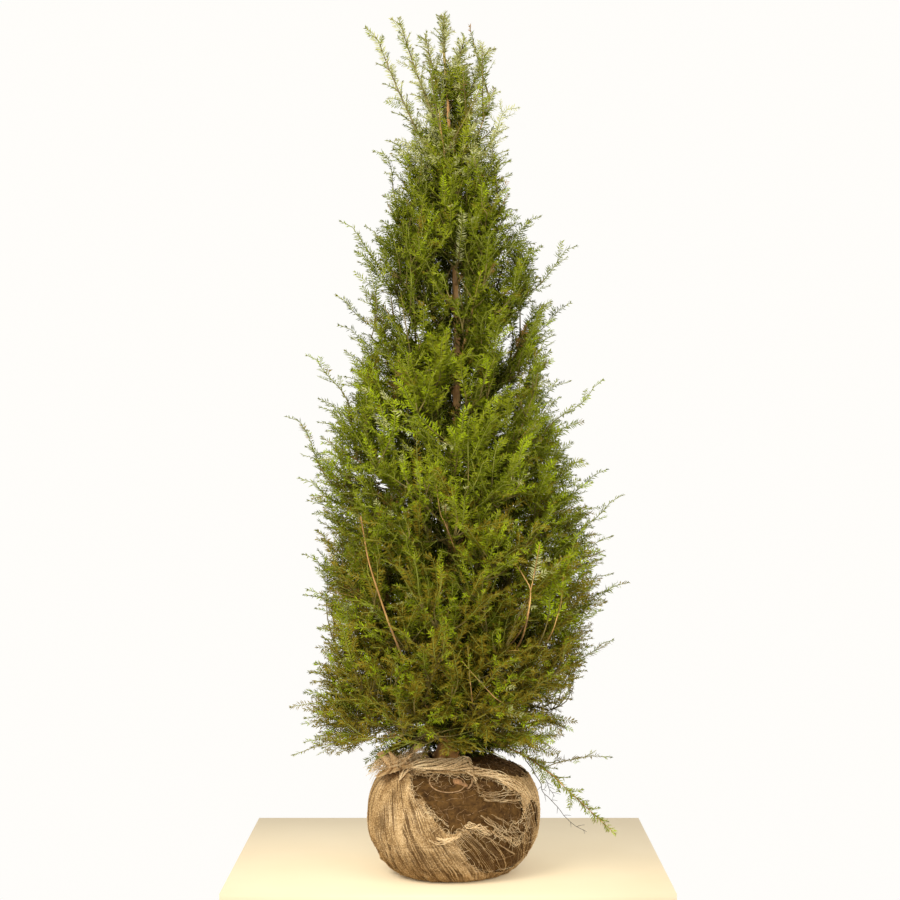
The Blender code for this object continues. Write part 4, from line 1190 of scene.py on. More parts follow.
limbs, limb_radii = grow_limbs()
young_bark = make_bark_finish("young_bark", *YOUNG_BARK)
boughs = make_boughs(limbs[:BOUGHS + 1], limb_radii[:BOUGHS + 1], young_bark)
settle(boughs, "bark", "bough_droop", *[f"bough_{number + 1:02d}" for number in range(BOUGHS)])


# Leaders
# The slender upright shoots round the top of the trunk, olive brown and hooked at their tips.
# They are thin young wood, round and nearly smooth.
LEADER_BARK = ((0.170, 0.140, 0.040), (0.330, 0.270, 0.080), (0.110, 0.095, 0.035))
LEADER_SIDES = 8

leader_bark = make_bark_finish("leader_bark", *LEADER_BARK)
leader_stems = sweep(limbs[BOUGHS + 1:], limb_radii[BOUGHS + 1:], LEADER_SIDES)
settle(make_piece("leader_stems", *leader_stems, leader_bark), "bark")


# Side branches
# Thin brown branches that leave each bough by turns round it, one golden angle apart, wide at its foot
# and narrow at its tip, and end within the crown's edge.
SEED = 7
TWIGS = 13
TWIG_LENGTH = 0.250
TWIG_ANGLES = (math.radians(80), math.radians(34))
TWIG_LIFT = 0.12
TWIG_SWING = 0.3
TWIG_SIZES = (0.85, 1.10)
TWIG_RADII = (0.0026, 0.0007)
TWIG_POINTS = 12
TWIG_EDGE = 0.90
TWIG_RISE = 0.18


def square_to(run):
    """Two directions square to each given one."""
    across = unit(np.cross(run, np.where(np.abs(run[..., 2:3]) < 0.95, (0.0, 0.0, 1.0), (1.0, 0.0, 0.0))))
    return across, np.cross(across, run)


def within_crown(points, share):
    reach = np.hypot(points[..., 0], points[..., 1])
    edge = crown_reach(points[..., 2], np.arctan2(points[..., 1], points[..., 0]))
    good = (reach < edge * share) & (points[..., 2] < CROWN_TOP)
    return good & ((points[..., 2] > FOLIAGE_FOOT) | (reach > BALL_RADIUS + BALL_CLEARANCE))


def grow_twigs():
    """Side branches of every bough, by the rule that the solid masses follow, cut to the crown."""
    twigs = []
    for number, stem in enumerate(limbs[:BOUGHS]):
        rng = np.random.default_rng(SEED + number)
        length = np.linalg.norm(np.diff(stem, axis=0), axis=1).sum()
        turn = rng.uniform(0.0, 2 * math.pi)
        for twig in range(TWIGS):
            share = 0.16 + 0.80 * (twig + 0.55) / (TWIGS + 0.35)
            turn += GOLDEN_ANGLE + rng.uniform(-TWIG_SWING, TWIG_SWING)
            at = int(share * (BOUGH_POINTS - 1))
            root = stem[at]
            run = unit(stem[min(at + 1, BOUGH_POINTS - 1)] - stem[at - 1])
            way = spoke(blend(*TWIG_ANGLES, share), run, spoke(turn, *square_to(run)))
            way = unit(way + (0.0, 0.0, TWIG_LIFT))
            reach = min(TWIG_LENGTH, 0.75 * length + 0.03) * blend(1.0, 0.62, share)
            reach *= rng.uniform(*TWIG_SIZES)
            for cut in np.arange(1.0, 0.15, -0.08):
                end = root + way * reach * cut
                end[2] += TWIG_RISE * reach * cut
                if within_crown(end, TWIG_EDGE):
                    twigs.append(bent_line(root, root + way * reach * cut * 0.55, end, TWIG_POINTS))
                    break
    return np.array(twigs)


twig_lines = grow_twigs()


# Shoots
# The leafy shoots, up to 3 mm thick and about a hand long, brown where they are old and green near the tip.
# They rise steeply in the upper crown and lie level at its foot, and their tips hook outwards.
SHOOTS = 3550
SHOOT_POINTS = 9
LEAFY_LENGTHS = (0.070, 0.155)
SHOOT_REACH = 0.30
SHOOT_RADII = (0.0016, 0.0007)
CLIMBS = ((0.28, 3), (0.36, 18), (0.50, 36), (0.75, 48), (1.10, 57), (1.50, 62), (2.00, 68))
CLIMB_SPREAD = math.radians(15)
SWING_SPREAD = math.radians(24)
STEEPEST = math.radians(86)
SHOOT_BOW = 0.07
CLUMP = 0.13
CLUMP_CLIMB = math.radians(30)
CLUMP_SWING = math.radians(52)
TIP_HOOK = 0.015
CROWN_FILL = ((0.27, 1.0), (1.50, 1.0), (1.62, 0.95), (1.72, 0.76), (1.82, 0.52), (1.94, 0.30))
DEEPEST = 0.72
CROWN_DRAWN = 0.97
LONG_SHOOTS = 330
LONG_PAST = (0.000, 0.055)
LONG_LEAFY = (0.13, 0.21)
LONG_BOUND = 0.318
BRIGHT = 1.6
LOW_LENGTH = 0.10
# How low the shoots may come over the ball, beside it, and behind the trunk.
OVER_BALL = 0.16
BEHIND_TRUNK = 0.19
LOW_OVER_BALL = FOLIAGE_FOOT + 0.022
LOW_BESIDE_BALL = 0.240
LOW_BEHIND_TRUNK = FOLIAGE_FOOT + 0.004
# Low tufts beside the knot and behind the trunk's foot: middle, spread and count.
LOW_TUFTS = (
    ((-0.180, -0.040, 0.272), (0.014, 0.030, 0.008), 9),
    ((0.062, 0.050, 0.295), (0.034, 0.022, 0.009), 64),
    ((-0.056, 0.062, 0.298), (0.034, 0.022, 0.009), 38),
)
# Tips of the longest shoots that show, across and up in millimetres.
LONG_TIPS = (
    (141, 1814), (98, 1861), (-171, 1708), (-254, 1559), (195, 1566), (276, 1488), (266, 1360), (-261, 1376),
    (-332, 1235), (342, 1175), (-373, 1088), (356, 963), (391, 903), (403, 695), (365, 560), (-361, 412),
    (-361, 290), (365, 272),
)
# Bright young shoots that stand out at the front: tip and foot, each across, forward and up, in millimetres.
BRIGHT_SHOOTS = (
    ((28, -215, 1111), (10, -200, 935)), ((170, -200, 1041), (160, -190, 885)),
    ((290, -150, 838), (262, -140, 565)), ((-186, -130, 1223), (-148, -120, 1055)),
    ((-120, -185, 1170), (-78, -175, 1005)), ((120, -160, 1290), (58, -150, 1147)),
    ((-53, -130, 1560), (-58, -120, 1440)), ((-305, -60, 986), (-260, -50, 880)),
    ((236, -190, 760), (222, -180, 610)), ((-20, -250, 700), (-32, -240, 560)),
)
# Which limbs have leafy ends, and how long those are.
LIMB_ENDS = ((0, 24, 0.16), (24, 25, 0.30), (25, 26, 0.20), (26, 31, 0.36))
TWIG_ENDS = (0.085, 0.170)
HIGH_TWIG = 1.52
# Where the sky shows through the crown, and where the trunk shows: across, up, half the width
# and half the height, in millimetres.
SKY_GAPS = (
    (-82, 1262, 14, 16), (-110, 1292, 15, 16), (-146, 1330, 18, 20),
    (160, 1296, 14, 14), (134, 1256, 14, 16), (-165, 912, 10, 15),
)
TRUNK_GAPS = (
    (10, 1386, 19, 34), (10, 1242, 15, 24), (10, 1123, 17, 28), (-6, 1790, 14, 50), (-11, 285, 30, 24),
)
# Woody stems that show at the front: how far forward, their radius, and points across and up, in millimetres.
SHOWN_WOOD = (
    (-235, 3.0, ((-92, 480), (-133, 585), (-160, 660), (-189, 753), (-206, 850))),
    (-245, 2.2, ((162, 585), (169, 628), (175, 683), (160, 715), (144, 740))),
    (-247, 1.7, ((169, 628), (175, 683), (181, 712), (187, 744), (196, 790))),
    (-215, 1.3, ((212, 556), (225, 589), (236, 622), (245, 654), (250, 720))),
    (-245, 1.6, ((10, 760), (-8, 813), (-18, 838), (-28, 862), (-40, 950))),
    (-250, 1.3, ((122, 422), (96, 444), (66, 476), (37, 508), (20, 530))),
    (-250, 1.1, ((46, 420), (41.4, 464), (39, 486), (37, 508), (34, 560))),
)
SHOWN_CLEAR = 0.011
SHOWN_RISE = 0.75


def heading(azimuth, climb):
    level = np.cos(climb)
    return np.stack([level * np.cos(azimuth), level * np.sin(azimuth), np.sin(climb)], axis=-1)


def from_table(height, table):
    return np.interp(height, *np.transpose(table))


def ring_places(height, azimuth, reach):
    return np.stack([reach * np.cos(azimuth), reach * np.sin(azimuth), height], axis=-1)


def pick_tips(rng):
    """Where each shoot ends and the way it points there, spread evenly over the crown."""
    heights = np.linspace(0.29, 1.93, 400)
    wide = crown_reach(heights, 0.0) + crown_reach(heights, math.pi)
    weight = wide**1.1 * from_table(heights, CROWN_FILL) * np.interp(heights, (0.6, 1.1), (1.22, 1.0))
    order = (np.arange(SHOOTS) + rng.uniform(0, 1, SHOOTS)) / SHOOTS
    height = np.interp(order, np.cumsum(weight) / weight.sum(), heights)
    azimuth = np.arange(SHOOTS) * GOLDEN_ANGLE + rng.uniform(-0.5, 0.5, SHOOTS)
    share = 1 - DEEPEST * rng.uniform(0, 1, SHOOTS) ** 1.80
    reach = crown_reach(height, azimuth) * from_table(height, CROWN_FILL) * share * CROWN_DRAWN
    tips = ring_places(height, azimuth, reach)
    climb = np.radians(from_table(height, CLIMBS)) + rng.normal(0, CLIMB_SPREAD, SHOOTS) + (1 - share) * 0.35
    climb = np.minimum(climb + CLUMP_CLIMB * grain(tips, CLUMP, 11), STEEPEST)
    swing = azimuth + rng.normal(0, SWING_SPREAD, SHOOTS) + CLUMP_SWING * grain(tips, CLUMP, 12)
    lengths = rng.uniform(*LEAFY_LENGTHS, SHOOTS)
    lengths *= np.interp(height, (0.3, 0.6, 1.3, 1.9), (0.7, 1.0, 1.0, 0.7))
    return tips, heading(swing, climb), lengths, share


def pick_long_tips(rng):
    """The longest shoots, which stand out past the crown's edge: the ones that show, and others all round."""
    across, up = np.transpose(LONG_TIPS) / 1000
    named = np.column_stack([across, rng.uniform(-0.08, 0.08, len(up)), up])
    height = rng.uniform(0.30, 1.80, LONG_SHOOTS)
    azimuth = np.arange(LONG_SHOOTS) * GOLDEN_ANGLE + 1.0
    past = rng.uniform(*LONG_PAST, LONG_SHOOTS)
    past *= np.interp(height, (0.9, 1.1, 1.48, 1.62), (0.35, 1.0, 1.0, 0.1))
    others = ring_places(height, azimuth, crown_reach(height, azimuth) + past)
    tips = np.vstack([named, others[np.abs(others[:, 1]) < LONG_BOUND]])
    azimuth = np.arctan2(tips[:, 1], tips[:, 0]) + rng.normal(0, 0.2, len(tips))
    climb = np.radians(from_table(tips[:, 2], CLIMBS)) * 0.92 + rng.normal(0, 0.10, len(tips))
    lengths = rng.uniform(*LONG_LEAFY, len(tips)) * np.interp(tips[:, 2], (1.3, 1.8), (1.0, 0.8))
    return tips, heading(azimuth, climb), lengths, np.full(len(tips), 1.05)


def pick_low_tips(rng):
    """Shoots that hang low beside the knot and behind the trunk's foot."""
    tips = np.vstack([rng.normal(middle, spread, (count, 3)) for middle, spread, count in LOW_TUFTS])
    azimuth = np.arctan2(tips[:, 1], tips[:, 0])
    climb = rng.uniform(-0.9, -0.3, len(tips))
    # The tufts behind the trunk's foot are given a deep place in the crown, so they are dealt the darker
    # colours of painted shade.
    depth = np.where(tips[:, 0] < -0.12, 0.75, 0.40)
    return tips, heading(azimuth, climb), np.full(len(tips), LOW_LENGTH), depth


def pick_bright_tips():
    tips, feet = np.moveaxis(np.array(BRIGHT_SHOOTS) / 1000, 1, 0)
    return tips, unit(tips - feet), np.linalg.norm(tips - feet, axis=1), np.full(len(tips), BRIGHT)


def in_gap(lines):
    """Whether each line would close a gap that stays open, or hide a woody stem that shows."""
    across, away, up = np.moveaxis(lines, -1, 0) * 1000
    shut = np.zeros(across.shape, dtype=bool)
    for gaps, nearest in ((SKY_GAPS, math.inf), (TRUNK_GAPS, 0)):
        for x, z, wide, tall in gaps:
            shut |= (np.hypot((across - x) / wide, (up - z) / tall) < 1) & (away < nearest)
    for depth, _, shown in SHOWN_WOOD:
        for x, z in shown[1:4]:
            shut |= (np.hypot(across - x, (up - z) * 0.5) < SHOWN_CLEAR * 1000) & (away < depth + 20)
    return shut.any(axis=-1)


def join_to_limbs(tips, ways, lengths):
    """Curves from the best place on a limb or side branch to each tip, arriving the way it points."""
    trunk_part = trunk_point(np.linspace(0.36, 1.90, 90))
    nodes = np.vstack([trunk_part, limbs[:, 6:-3].reshape(-1, 3), twig_lines[:, 2:].reshape(-1, 3)])
    roots = np.empty_like(tips)
    for first in range(0, len(tips), 400):
        part = slice(first, first + 400)
        offset = tips[part, None] - nodes[None]
        gap = np.linalg.norm(offset, axis=2)
        facing = np.einsum("tnk,tk->tn", offset, ways[part]) / np.maximum(gap, 1e-6)
        cost = np.abs(gap - lengths[part, None] * 1.15) * 0.6 + gap * 0.2 + 0.22 * (1 - facing)
        roots[part] = nodes[np.argmin(cost, axis=1)]
    gap = np.linalg.norm(tips - roots, axis=1)
    bend = tips - ways * (gap * 0.55)[:, None]
    lines = bent_line(roots[:, None], bend[:, None], tips[:, None], SHOOT_POINTS)
    share = np.linspace(0, 1, SHOOT_POINTS)[None, :, None]
    across, upward = square_to(ways)
    bow = across * grain(tips, 0.02, 13)[:, None] + upward * grain(tips, 0.02, 14)[:, None]
    lines = lines + np.sin(2 * math.pi * share) * (bow * gap[:, None] * SHOOT_BOW)[:, None]
    hook = np.clip((share - 0.83) / 0.17, 0, 1) ** 2
    return lines + hook * TIP_HOOK * (unit(ways * (1.0, 1.0, 0.0))[:, None] - (0.0, 0.0, 0.7)), gap


def grow_shoots():
    rng = np.random.default_rng(SEED + 100)
    tips, ways, lengths, share = map(np.concatenate, zip(pick_tips(rng), pick_long_tips(rng)))
    lines, gap = join_to_limbs(tips, ways, lengths)
    lengths = np.minimum(lengths, gap * 0.93)
    reach = np.hypot(lines[..., 0], lines[..., 1])
    low = np.interp(reach, (OVER_BALL, BALL_RADIUS + BALL_CLEARANCE), (LOW_OVER_BALL, LOW_BESIDE_BALL))
    low = np.where((lines[..., 1] > 0.02) & (reach < BEHIND_TRUNK), LOW_BEHIND_TRUNK, low)
    good = (gap < SHOOT_REACH) & ~in_gap(lines[:, 1:]) & (lines[..., 2] > low).all(axis=1)
    grown = [(lines[good], lengths[good], share[good])]
    for tips, ways, lengths, share in (pick_low_tips(rng), pick_bright_tips()):
        more, gap = join_to_limbs(tips, ways, lengths)
        grown.append((more, np.minimum(lengths, gap * 0.9), share))
    return map(np.concatenate, zip(*grown))


def grow_leader_shoots():
    """Short shoots along the upright leaders, the top of the trunk and the drooping shoot, by turns."""
    rng = np.random.default_rng(SEED + 200)
    lines = []
    lengths = []
    stems = [(limbs[BOUGHS], 20, 0.40, 0.075), (limbs[BOUGHS + 1], 18, 0.10, 0.048)]
    stems += [(stem, 24, 0.03, 0.080) for stem in limbs[BOUGHS + 2:]]
    stems.append((trunk_point(np.linspace(1.62, 1.93, BOUGH_POINTS)), 15, 0.0, 0.085))
    for stem, count, first, longest in stems:
        turn = rng.uniform(0, 2 * math.pi)
        for at in range(count):
            share = first + (0.94 - first) * (at + 0.5) / count
            knot = int(share * (BOUGH_POINTS - 1))
            run = unit(stem[min(knot + 2, BOUGH_POINTS - 1)] - stem[max(knot - 2, 0)])
            turn += GOLDEN_ANGLE + rng.uniform(-0.4, 0.4)
            aside = spoke(turn, *square_to(run))
            way = spoke(rng.uniform(math.radians(26), math.radians(48)), run, aside)
            length = longest * blend(1.0, 0.26, share) * rng.uniform(0.7, 1.15)
            bend = stem[knot] + (0.45 * way + 0.45 * run) * length * 0.6
            lines.append(bent_line(stem[knot], bend, stem[knot] + way * length, SHOOT_POINTS))
            lengths.append(length * 0.9)
    lines = np.array(lines)
    seen = ~in_gap(lines[:, 2:])
    return lines[seen], np.array(lengths)[seen]


def grow_shown_wood():
    """The woody stems that show at the front, each grown up from the trunk behind its foot."""
    lines = []
    for depth, _, shown in SHOWN_WOOD:
        points = np.array([(x, depth, z) for x, z in shown]) / 1000
        points[0, 1] += 0.055
        across, away, up = points[0]
        root = trunk_point(max(up - SHOWN_RISE * math.hypot(across, away), 0.31))
        bend = points[0] - unit(points[1] - points[0]) * np.linalg.norm(root - points[0]) * 0.4
        hidden = bent_line(root, bend, points[0], 13)[:-1]
        lines.append(np.vstack([hidden, smooth_line(points, 18)]))
    return np.array(lines)


def to_tips(lines):
    """How far each point of each line is from the line's tip, along it."""
    steps = np.linalg.norm(np.diff(lines, axis=1), axis=2)
    return steps.sum(axis=1)[:, None] - np.column_stack([np.zeros(len(lines)), steps.cumsum(axis=1)])


def line_ends(lines, length):
    """The last part of each line, up to a length back from its tip."""
    back = -np.linspace(length, 0, SHOOT_POINTS)
    ends = [[np.interp(back, -gone, part) for part in line.T] for gone, line in zip(to_tips(lines), lines)]
    return np.moveaxis(np.array(ends), 1, 2)


def gather_shoots():
    """All leafy shoots: the crown's, the leaders', and the leafy ends of limbs and side branches."""
    extra, extra_lengths = grow_leader_shoots()
    groups = [tuple(grow_shoots()), (extra, extra_lengths, np.full(len(extra), 0.98))]
    tall = twig_lines[:, -1, 2] > HIGH_TWIG
    sources = [(limbs[first:last], leafy, leafy * 0.97, 1.0) for first, last, leafy in LIMB_ENDS]
    sources += [(twig_lines[~tall], TWIG_ENDS[0], TWIG_ENDS[0] * 0.95, 0.8)]
    sources += [(twig_lines[tall], TWIG_ENDS[1], TWIG_ENDS[1] * 0.95, 0.8), (shown_wood, 0.09, 0.085, 1.0)]
    for lines, leafy, length, depth in sources:
        count = len(lines)
        groups.append((line_ends(lines, leafy), np.full(count, length), np.full(count, depth)))
    return map(np.concatenate, zip(*groups))


shown_wood = grow_shown_wood()
shoot_lines, shoot_lengths, shoot_depths = gather_shoots()


# Wood of the branches and green of the shoots
# The old parts are brown and woody, the young ends a smooth yellow-green, and both are round and slender.
# A few dry grey twigs hang from the drooping bough.
WOOD = ((0.165, 0.122, 0.022), (0.275, 0.208, 0.050), (0.090, 0.070, 0.010))
SHOOT_GREEN = (0.250, 0.262, 0.026)
GREEN_FROM = 3
DRY_GREY = (0.085, 0.070, 0.050)
# Dry twigs: where on the drooping bough they start, their radius there in metres, and points across and up
# in millimetres.
DRY_TWIGS = (
    (0.40, 0.0011, ((204, 226), (210, 206), (243, 172), (276, 133), (312, 114))),
    (0.46, 0.0010, ((214, 240), (222, 220), (236, 196))),
)
DRY_POINTS = 24


def make_stems(name, lines, radii, sides, finish):
    """Round stems along the lines, with the radius of their feet and tips."""
    thick = np.broadcast_to(np.linspace(*radii, lines.shape[1]), lines.shape[:2])
    return make_piece(name, *sweep(lines, thick, sides), finish)


def make_dry_twigs(finish):
    parts = []
    for share, thick, course in DRY_TWIGS:
        root = limbs[BOUGHS][int(share * (BOUGH_POINTS - 1))]
        line = smooth_line([root] + [(x / 1000, root[1] - 0.012, z / 1000) for x, z in course], DRY_POINTS)
        sway = [grain(line[1:] + shift, 0.012, 83) for shift in (0.0, 0.1, 0.2)]
        line[1:] += 0.0022 * np.stack(sway, axis=1)
        parts.append(sweep(line[None], np.linspace(thick, thick * 0.5, DRY_POINTS)[None], 5))
        for at in range(6, DRY_POINTS - 1, 2):
            run = line[at + 1] - line[at]
            side = np.array((run[2], 0.5 * run[0], -run[0])) * (1 if at % 4 else -1)
            end = line[at] + (unit(run) + unit(side)) * (0.007 + 0.009 * math.sin(at * 2.3) ** 2)
            twig = bent_line(line[at], line[at] + (end - line[at]) * 0.5 + (0, 0, 0.002), end, 5)
            parts.append(sweep(twig[None], np.linspace(thick * 0.6, thick * 0.3, 5)[None], 4))
    return make_piece("dry_twigs", *gather(parts), finish)


twig_finish = make_bark_finish("twig_bark", *WOOD)
settle(make_stems("twig_wood", twig_lines, TWIG_RADII, 5, twig_finish), "bark")
shown_radii = np.array([[thick / 1000] for _, thick, _ in SHOWN_WOOD])
shown_radii = shown_radii * np.linspace(1.25, 0.45, shown_wood.shape[1])
settle(make_piece("front_stems", *sweep(shown_wood, shown_radii, 8), young_bark), "bark")
settle(make_dry_twigs(Finish("dry_twig", DRY_GREY, 0.9).material), "bark")
middle = blend(*SHOOT_RADII, GREEN_FROM / (SHOOT_POINTS - 1))
old_part = shoot_lines[:, :GREEN_FROM + 1]
settle(make_stems("shoot_wood", old_part, (SHOOT_RADII[0], middle), 3, twig_finish), "bark")
green_finish = Finish("green_stem", SHOOT_GREEN, 0.55).material
young_part = shoot_lines[:, GREEN_FROM:]
settle(make_stems("shoot_greens", young_part, (middle, SHOOT_RADII[1]), 3, green_finish), "foliage")


# Sprigs
# Small side shoots, up to four on each leafy shoot, left and right by turns in the plane of the spray.
# They are thin and green. Those deep in the crown have needles but no stem of their own.
SPRIGS = 4
SPRIG_LENGTHS = (0.020, 0.046)
SPRIG_RADII = (0.0008, 0.0005)
SPRIG_POINTS = 3
SPRIG_SEEN = 0.42
SPRIG_BOUND = 0.316
SPRIG_SHORTEST = 0.013
SPRIG_LOWEST = 0.215
SPRIG_ANGLES = (math.radians(34), math.radians(62))


def along_lines(lines, places):
    """Points and runs at distances back from each line's tip, as (lines, places) arrays."""
    to_tip = to_tips(lines)
    want = np.minimum(places, to_tip[:, :1] * 0.999)
    at = np.clip((to_tip[:, None, :] >= want[:, :, None]).sum(axis=2) - 1, 0, lines.shape[1] - 2)
    rows = np.arange(len(lines))[:, None]
    span = to_tip[rows, at] - to_tip[rows, at + 1]
    share = (to_tip[rows, at] - want) / np.maximum(span, 1e-9)
    run = lines[rows, at + 1] - lines[rows, at]
    return lines[rows, at] + run * share[..., None], unit(run)


def spray_plane(runs, tilt):
    """The flat direction of a spray and the way its upper face looks, turned by tilt about its shoot."""
    flat = spoke(np.broadcast_to(tilt[:, None], runs.shape[:2]), *square_to(runs))
    return flat, np.cross(flat, runs)


def grow_sprigs():
    rng = np.random.default_rng(SEED + 300)
    count = len(shoot_lines)
    tilt = rng.normal(0, 0.45, count)
    end = shoot_lines[:, -1] - shoot_lines[:, -4]
    upright = np.abs(end[:, 2]) > 0.8 * np.linalg.norm(end, axis=1)
    tilt = np.where(upright, rng.uniform(0, math.pi, count), tilt)
    share = (np.arange(SPRIGS) + rng.uniform(0.1, 0.9, (count, SPRIGS))) / SPRIGS
    back = shoot_lengths[:, None] * (0.30 + 0.70 * share)
    points, runs = along_lines(shoot_lines, back)
    flat, face = spray_plane(runs, tilt)
    hand = np.where((np.arange(SPRIGS) + rng.integers(0, 2, (count, 1))) % 2, 1.0, -1.0)
    angle = rng.uniform(*SPRIG_ANGLES, back.shape)
    lift = rng.normal(0.12, 0.36, back.shape)
    way = unit(spoke(angle, runs, hand[..., None] * flat + lift[..., None] * face))
    length = rng.uniform(*SPRIG_LENGTHS, back.shape) * np.clip(shoot_lengths / 0.12, 0.4, 1.1)[:, None]
    length *= np.clip(back / 0.05, 0.4, 1.0)
    step = np.linspace(0, 1, SPRIG_POINTS)[None, None, :, None]
    lines = points[:, :, None] + way[:, :, None] * length[..., None, None] * step
    lines = lines + runs[:, :, None] * length[..., None, None] * 0.22 * step**2
    lines = lines.reshape(-1, SPRIG_POINTS, 3)
    length = length.ravel()
    kept = (length > SPRIG_SHORTEST) & ~in_gap(lines[:, 1:]) & (lines[..., 2].min(axis=1) > SPRIG_LOWEST)
    kept &= np.abs(lines[..., 1]).max(axis=1) < SPRIG_BOUND
    return lines[kept], length[kept], np.repeat(np.arange(count), SPRIGS)[kept], tilt


sprig_lines, sprig_lengths, sprig_parents, spray_tilts = grow_sprigs()
seen_sprigs = sprig_lines[shoot_depths[sprig_parents] > SPRIG_SEEN]
settle(make_stems("sprig_greens", seen_sprigs, SPRIG_RADII, 3, green_finish), "foliage")


# Needles
# Flat, soft, pointed needles in two ranks along every young shoot, 6 to 23 mm long and about 3 mm wide,
# with a shallow fold at the midrib. Deep green inside the crown, as older growth darkened by painted shade,
# olive outside, fresh green at the tips, paler at the top as painted light, and browner towards the foot.
NEEDLE_PITCH = 0.0022
NEEDLE_LENGTHS = (0.0125, 0.0180)
NEEDLE_WIDTH = 0.0027
NEEDLE_ANGLES = (math.radians(64), math.radians(40))
NEEDLE_FOLD = 0.16
NEEDLE_SPREAD = 0.42
SPRIG_NEEDLES = 0.90
DEEP_SIZE = 1.28
DEEP_KEEP = 0.72
NEEDLE_FINISHES = (
    ("shaded", (0.038, 0.045, 0.002), 0.54),
    ("deep", (0.080, 0.099, 0.003), 0.52),
    ("mid", (0.144, 0.175, 0.005), 0.52),
    ("bronze", (0.226, 0.166, 0.012), 0.54),
    ("olive", (0.238, 0.268, 0.010), 0.52),
    ("fresh", (0.325, 0.405, 0.009), 0.50),
    ("pale", (0.430, 0.430, 0.175), 0.52),
    ("russet", (0.300, 0.160, 0.045), 0.60),
    ("umber", (0.105, 0.082, 0.004), 0.54),
)
SHADED, DEEP, MID, BRONZE, OLIVE, FRESH, PALE, RUSSET, UMBER = range(len(NEEDLE_FINISHES))
NEEDLE_GLOSS = 0.05
LIGHT_PATCH = 0.42
TUFT_NEEDLES = 9
TUFT_LENGTHS = (0.0050, 0.0085)
PIECE_NEEDLES = 95000


def needle_stations(lines, lengths, tilt, deep, rng):
    """Root, run and spray plane of every needle along each line's leafy end."""
    most = int(lengths.max() / NEEDLE_PITCH) + 1
    back = (np.arange(most) + rng.uniform(0.2, 0.8, (len(lines), 1))) * NEEDLE_PITCH
    present = back < lengths[:, None]
    points, runs = along_lines(lines, back)
    flat, face = spray_plane(runs, tilt)
    present &= rng.uniform(0, 1, present.shape) < blend(1.0, DEEP_KEEP, deep)[:, None]
    owner = np.broadcast_to(np.arange(len(lines))[:, None], back.shape)
    return [part[present] for part in (points, runs, flat, face, back, owner)]


def lay_needles(points, runs, flat, face, back, size, rng):
    """Four corners for each needle, left and right by turns, slanting forward and more so near the tip."""
    count = len(points)
    hand = np.where(np.arange(count) % 2, 1.0, -1.0)
    near_tip = np.exp(-back / 0.016)
    angle = blend(*NEEDLE_ANGLES, near_tip) + rng.normal(0, 0.17, count)
    roll = rng.normal(0.10, NEEDLE_SPREAD, count)
    way = spoke(angle, runs, spoke(roll, hand[:, None] * flat, face))
    length = rng.uniform(*NEEDLE_LENGTHS, count) * blend(1.0, 0.55, near_tip) * size
    wide = unit(np.cross(way, face))
    over = np.cross(wide, way)
    wide = spoke(rng.normal(0, 0.35, count), wide, over)
    half_width = NEEDLE_WIDTH / 2 * rng.uniform(0.85, 1.1, count) * size
    waist = points + way * (length * 0.42)[:, None] + over * (half_width * NEEDLE_FOLD * 2)[:, None]
    half = wide * half_width[:, None]
    tip = points + way * length[:, None] - over * (length * 0.05)[:, None]
    return np.stack([points, waist + half, tip, waist - half], axis=1)


def lay_tufts(rng):
    """The small tuft of short dark needles round the bud at the tip of each outer shoot."""
    outer = np.repeat(np.nonzero(shoot_depths > 0.80)[0], TUFT_NEEDLES)
    runs = unit(shoot_lines[outer, -1] - shoot_lines[outer, -2])
    turn = rng.uniform(0, 2 * math.pi, len(outer))
    spread = rng.uniform(0.3, 1.5, len(outer))
    aside = spoke(turn, *square_to(runs))
    way = spoke(spread, runs, aside)
    wide = np.cross(way, aside) * NEEDLE_WIDTH * 0.42 + 1e-6
    length = rng.uniform(*TUFT_LENGTHS, len(outer))[:, None]
    root = shoot_lines[outer, -1] - runs * rng.uniform(0, 0.004, len(outer))[:, None]
    waist = root + way * (length * 0.45)
    return np.stack([root, waist + wide, root + way * length, waist - wide], axis=1)


def colour_shares(tips, depth, young, rng):
    """Deals one of the needle colours to each spray, by how deep, how high and how young it is."""
    count = len(tips)
    height = tips[:, 2]
    # Deep sprays are darker, as painted shade and older growth, and young ones lighter.
    light = (depth - 0.72) / 0.36 + 0.55 * young + rng.normal(0, 0.28, count)
    # Patches of painted light and shade lie over the crown.
    light += LIGHT_PATCH * grain(tips, 0.10, 15)
    # Darker in a band about 1.5 m up and low down, and lighter at the top as painted light.
    light -= 0.42 * np.exp(-(((height - 1.49) / 0.14) ** 2))
    light += 0.25 * np.clip((height - 1.6) / 0.4, 0, 1) - 0.34 * np.clip((0.50 - height) / 0.25, 0, 1)
    steps = np.digitize(light, (-0.15, 0.42, 0.90, 1.42, 1.90))
    choice = np.array((SHADED, DEEP, MID, OLIVE, FRESH, PALE))[steps]
    dealt = rng.uniform(0, 1, count)
    hanging = height < 0.26
    brown = (dealt < np.clip((1.0 - height) / 0.55, 0.04, 0.80)) & ~hanging
    top = height > 1.68
    # At the top, fresh and some olive sprays turn pale, as painted light.
    for which, colour in (
        (brown & ((choice == MID) | (choice == OLIVE)), BRONZE),
        (brown & (choice == DEEP), UMBER),
        (top & ((choice == FRESH) | ((choice == OLIVE) & (dealt > 0.45))), PALE),
    ):
        choice = np.where(which, colour, choice)
    choice = np.where(hanging & (choice < OLIVE), OLIVE, choice)
    choice = np.where(depth >= BRIGHT, FRESH, choice)
    return np.where((rng.uniform(0, 1, count) < 0.014) & (depth < 0.9), RUSSET, choice)


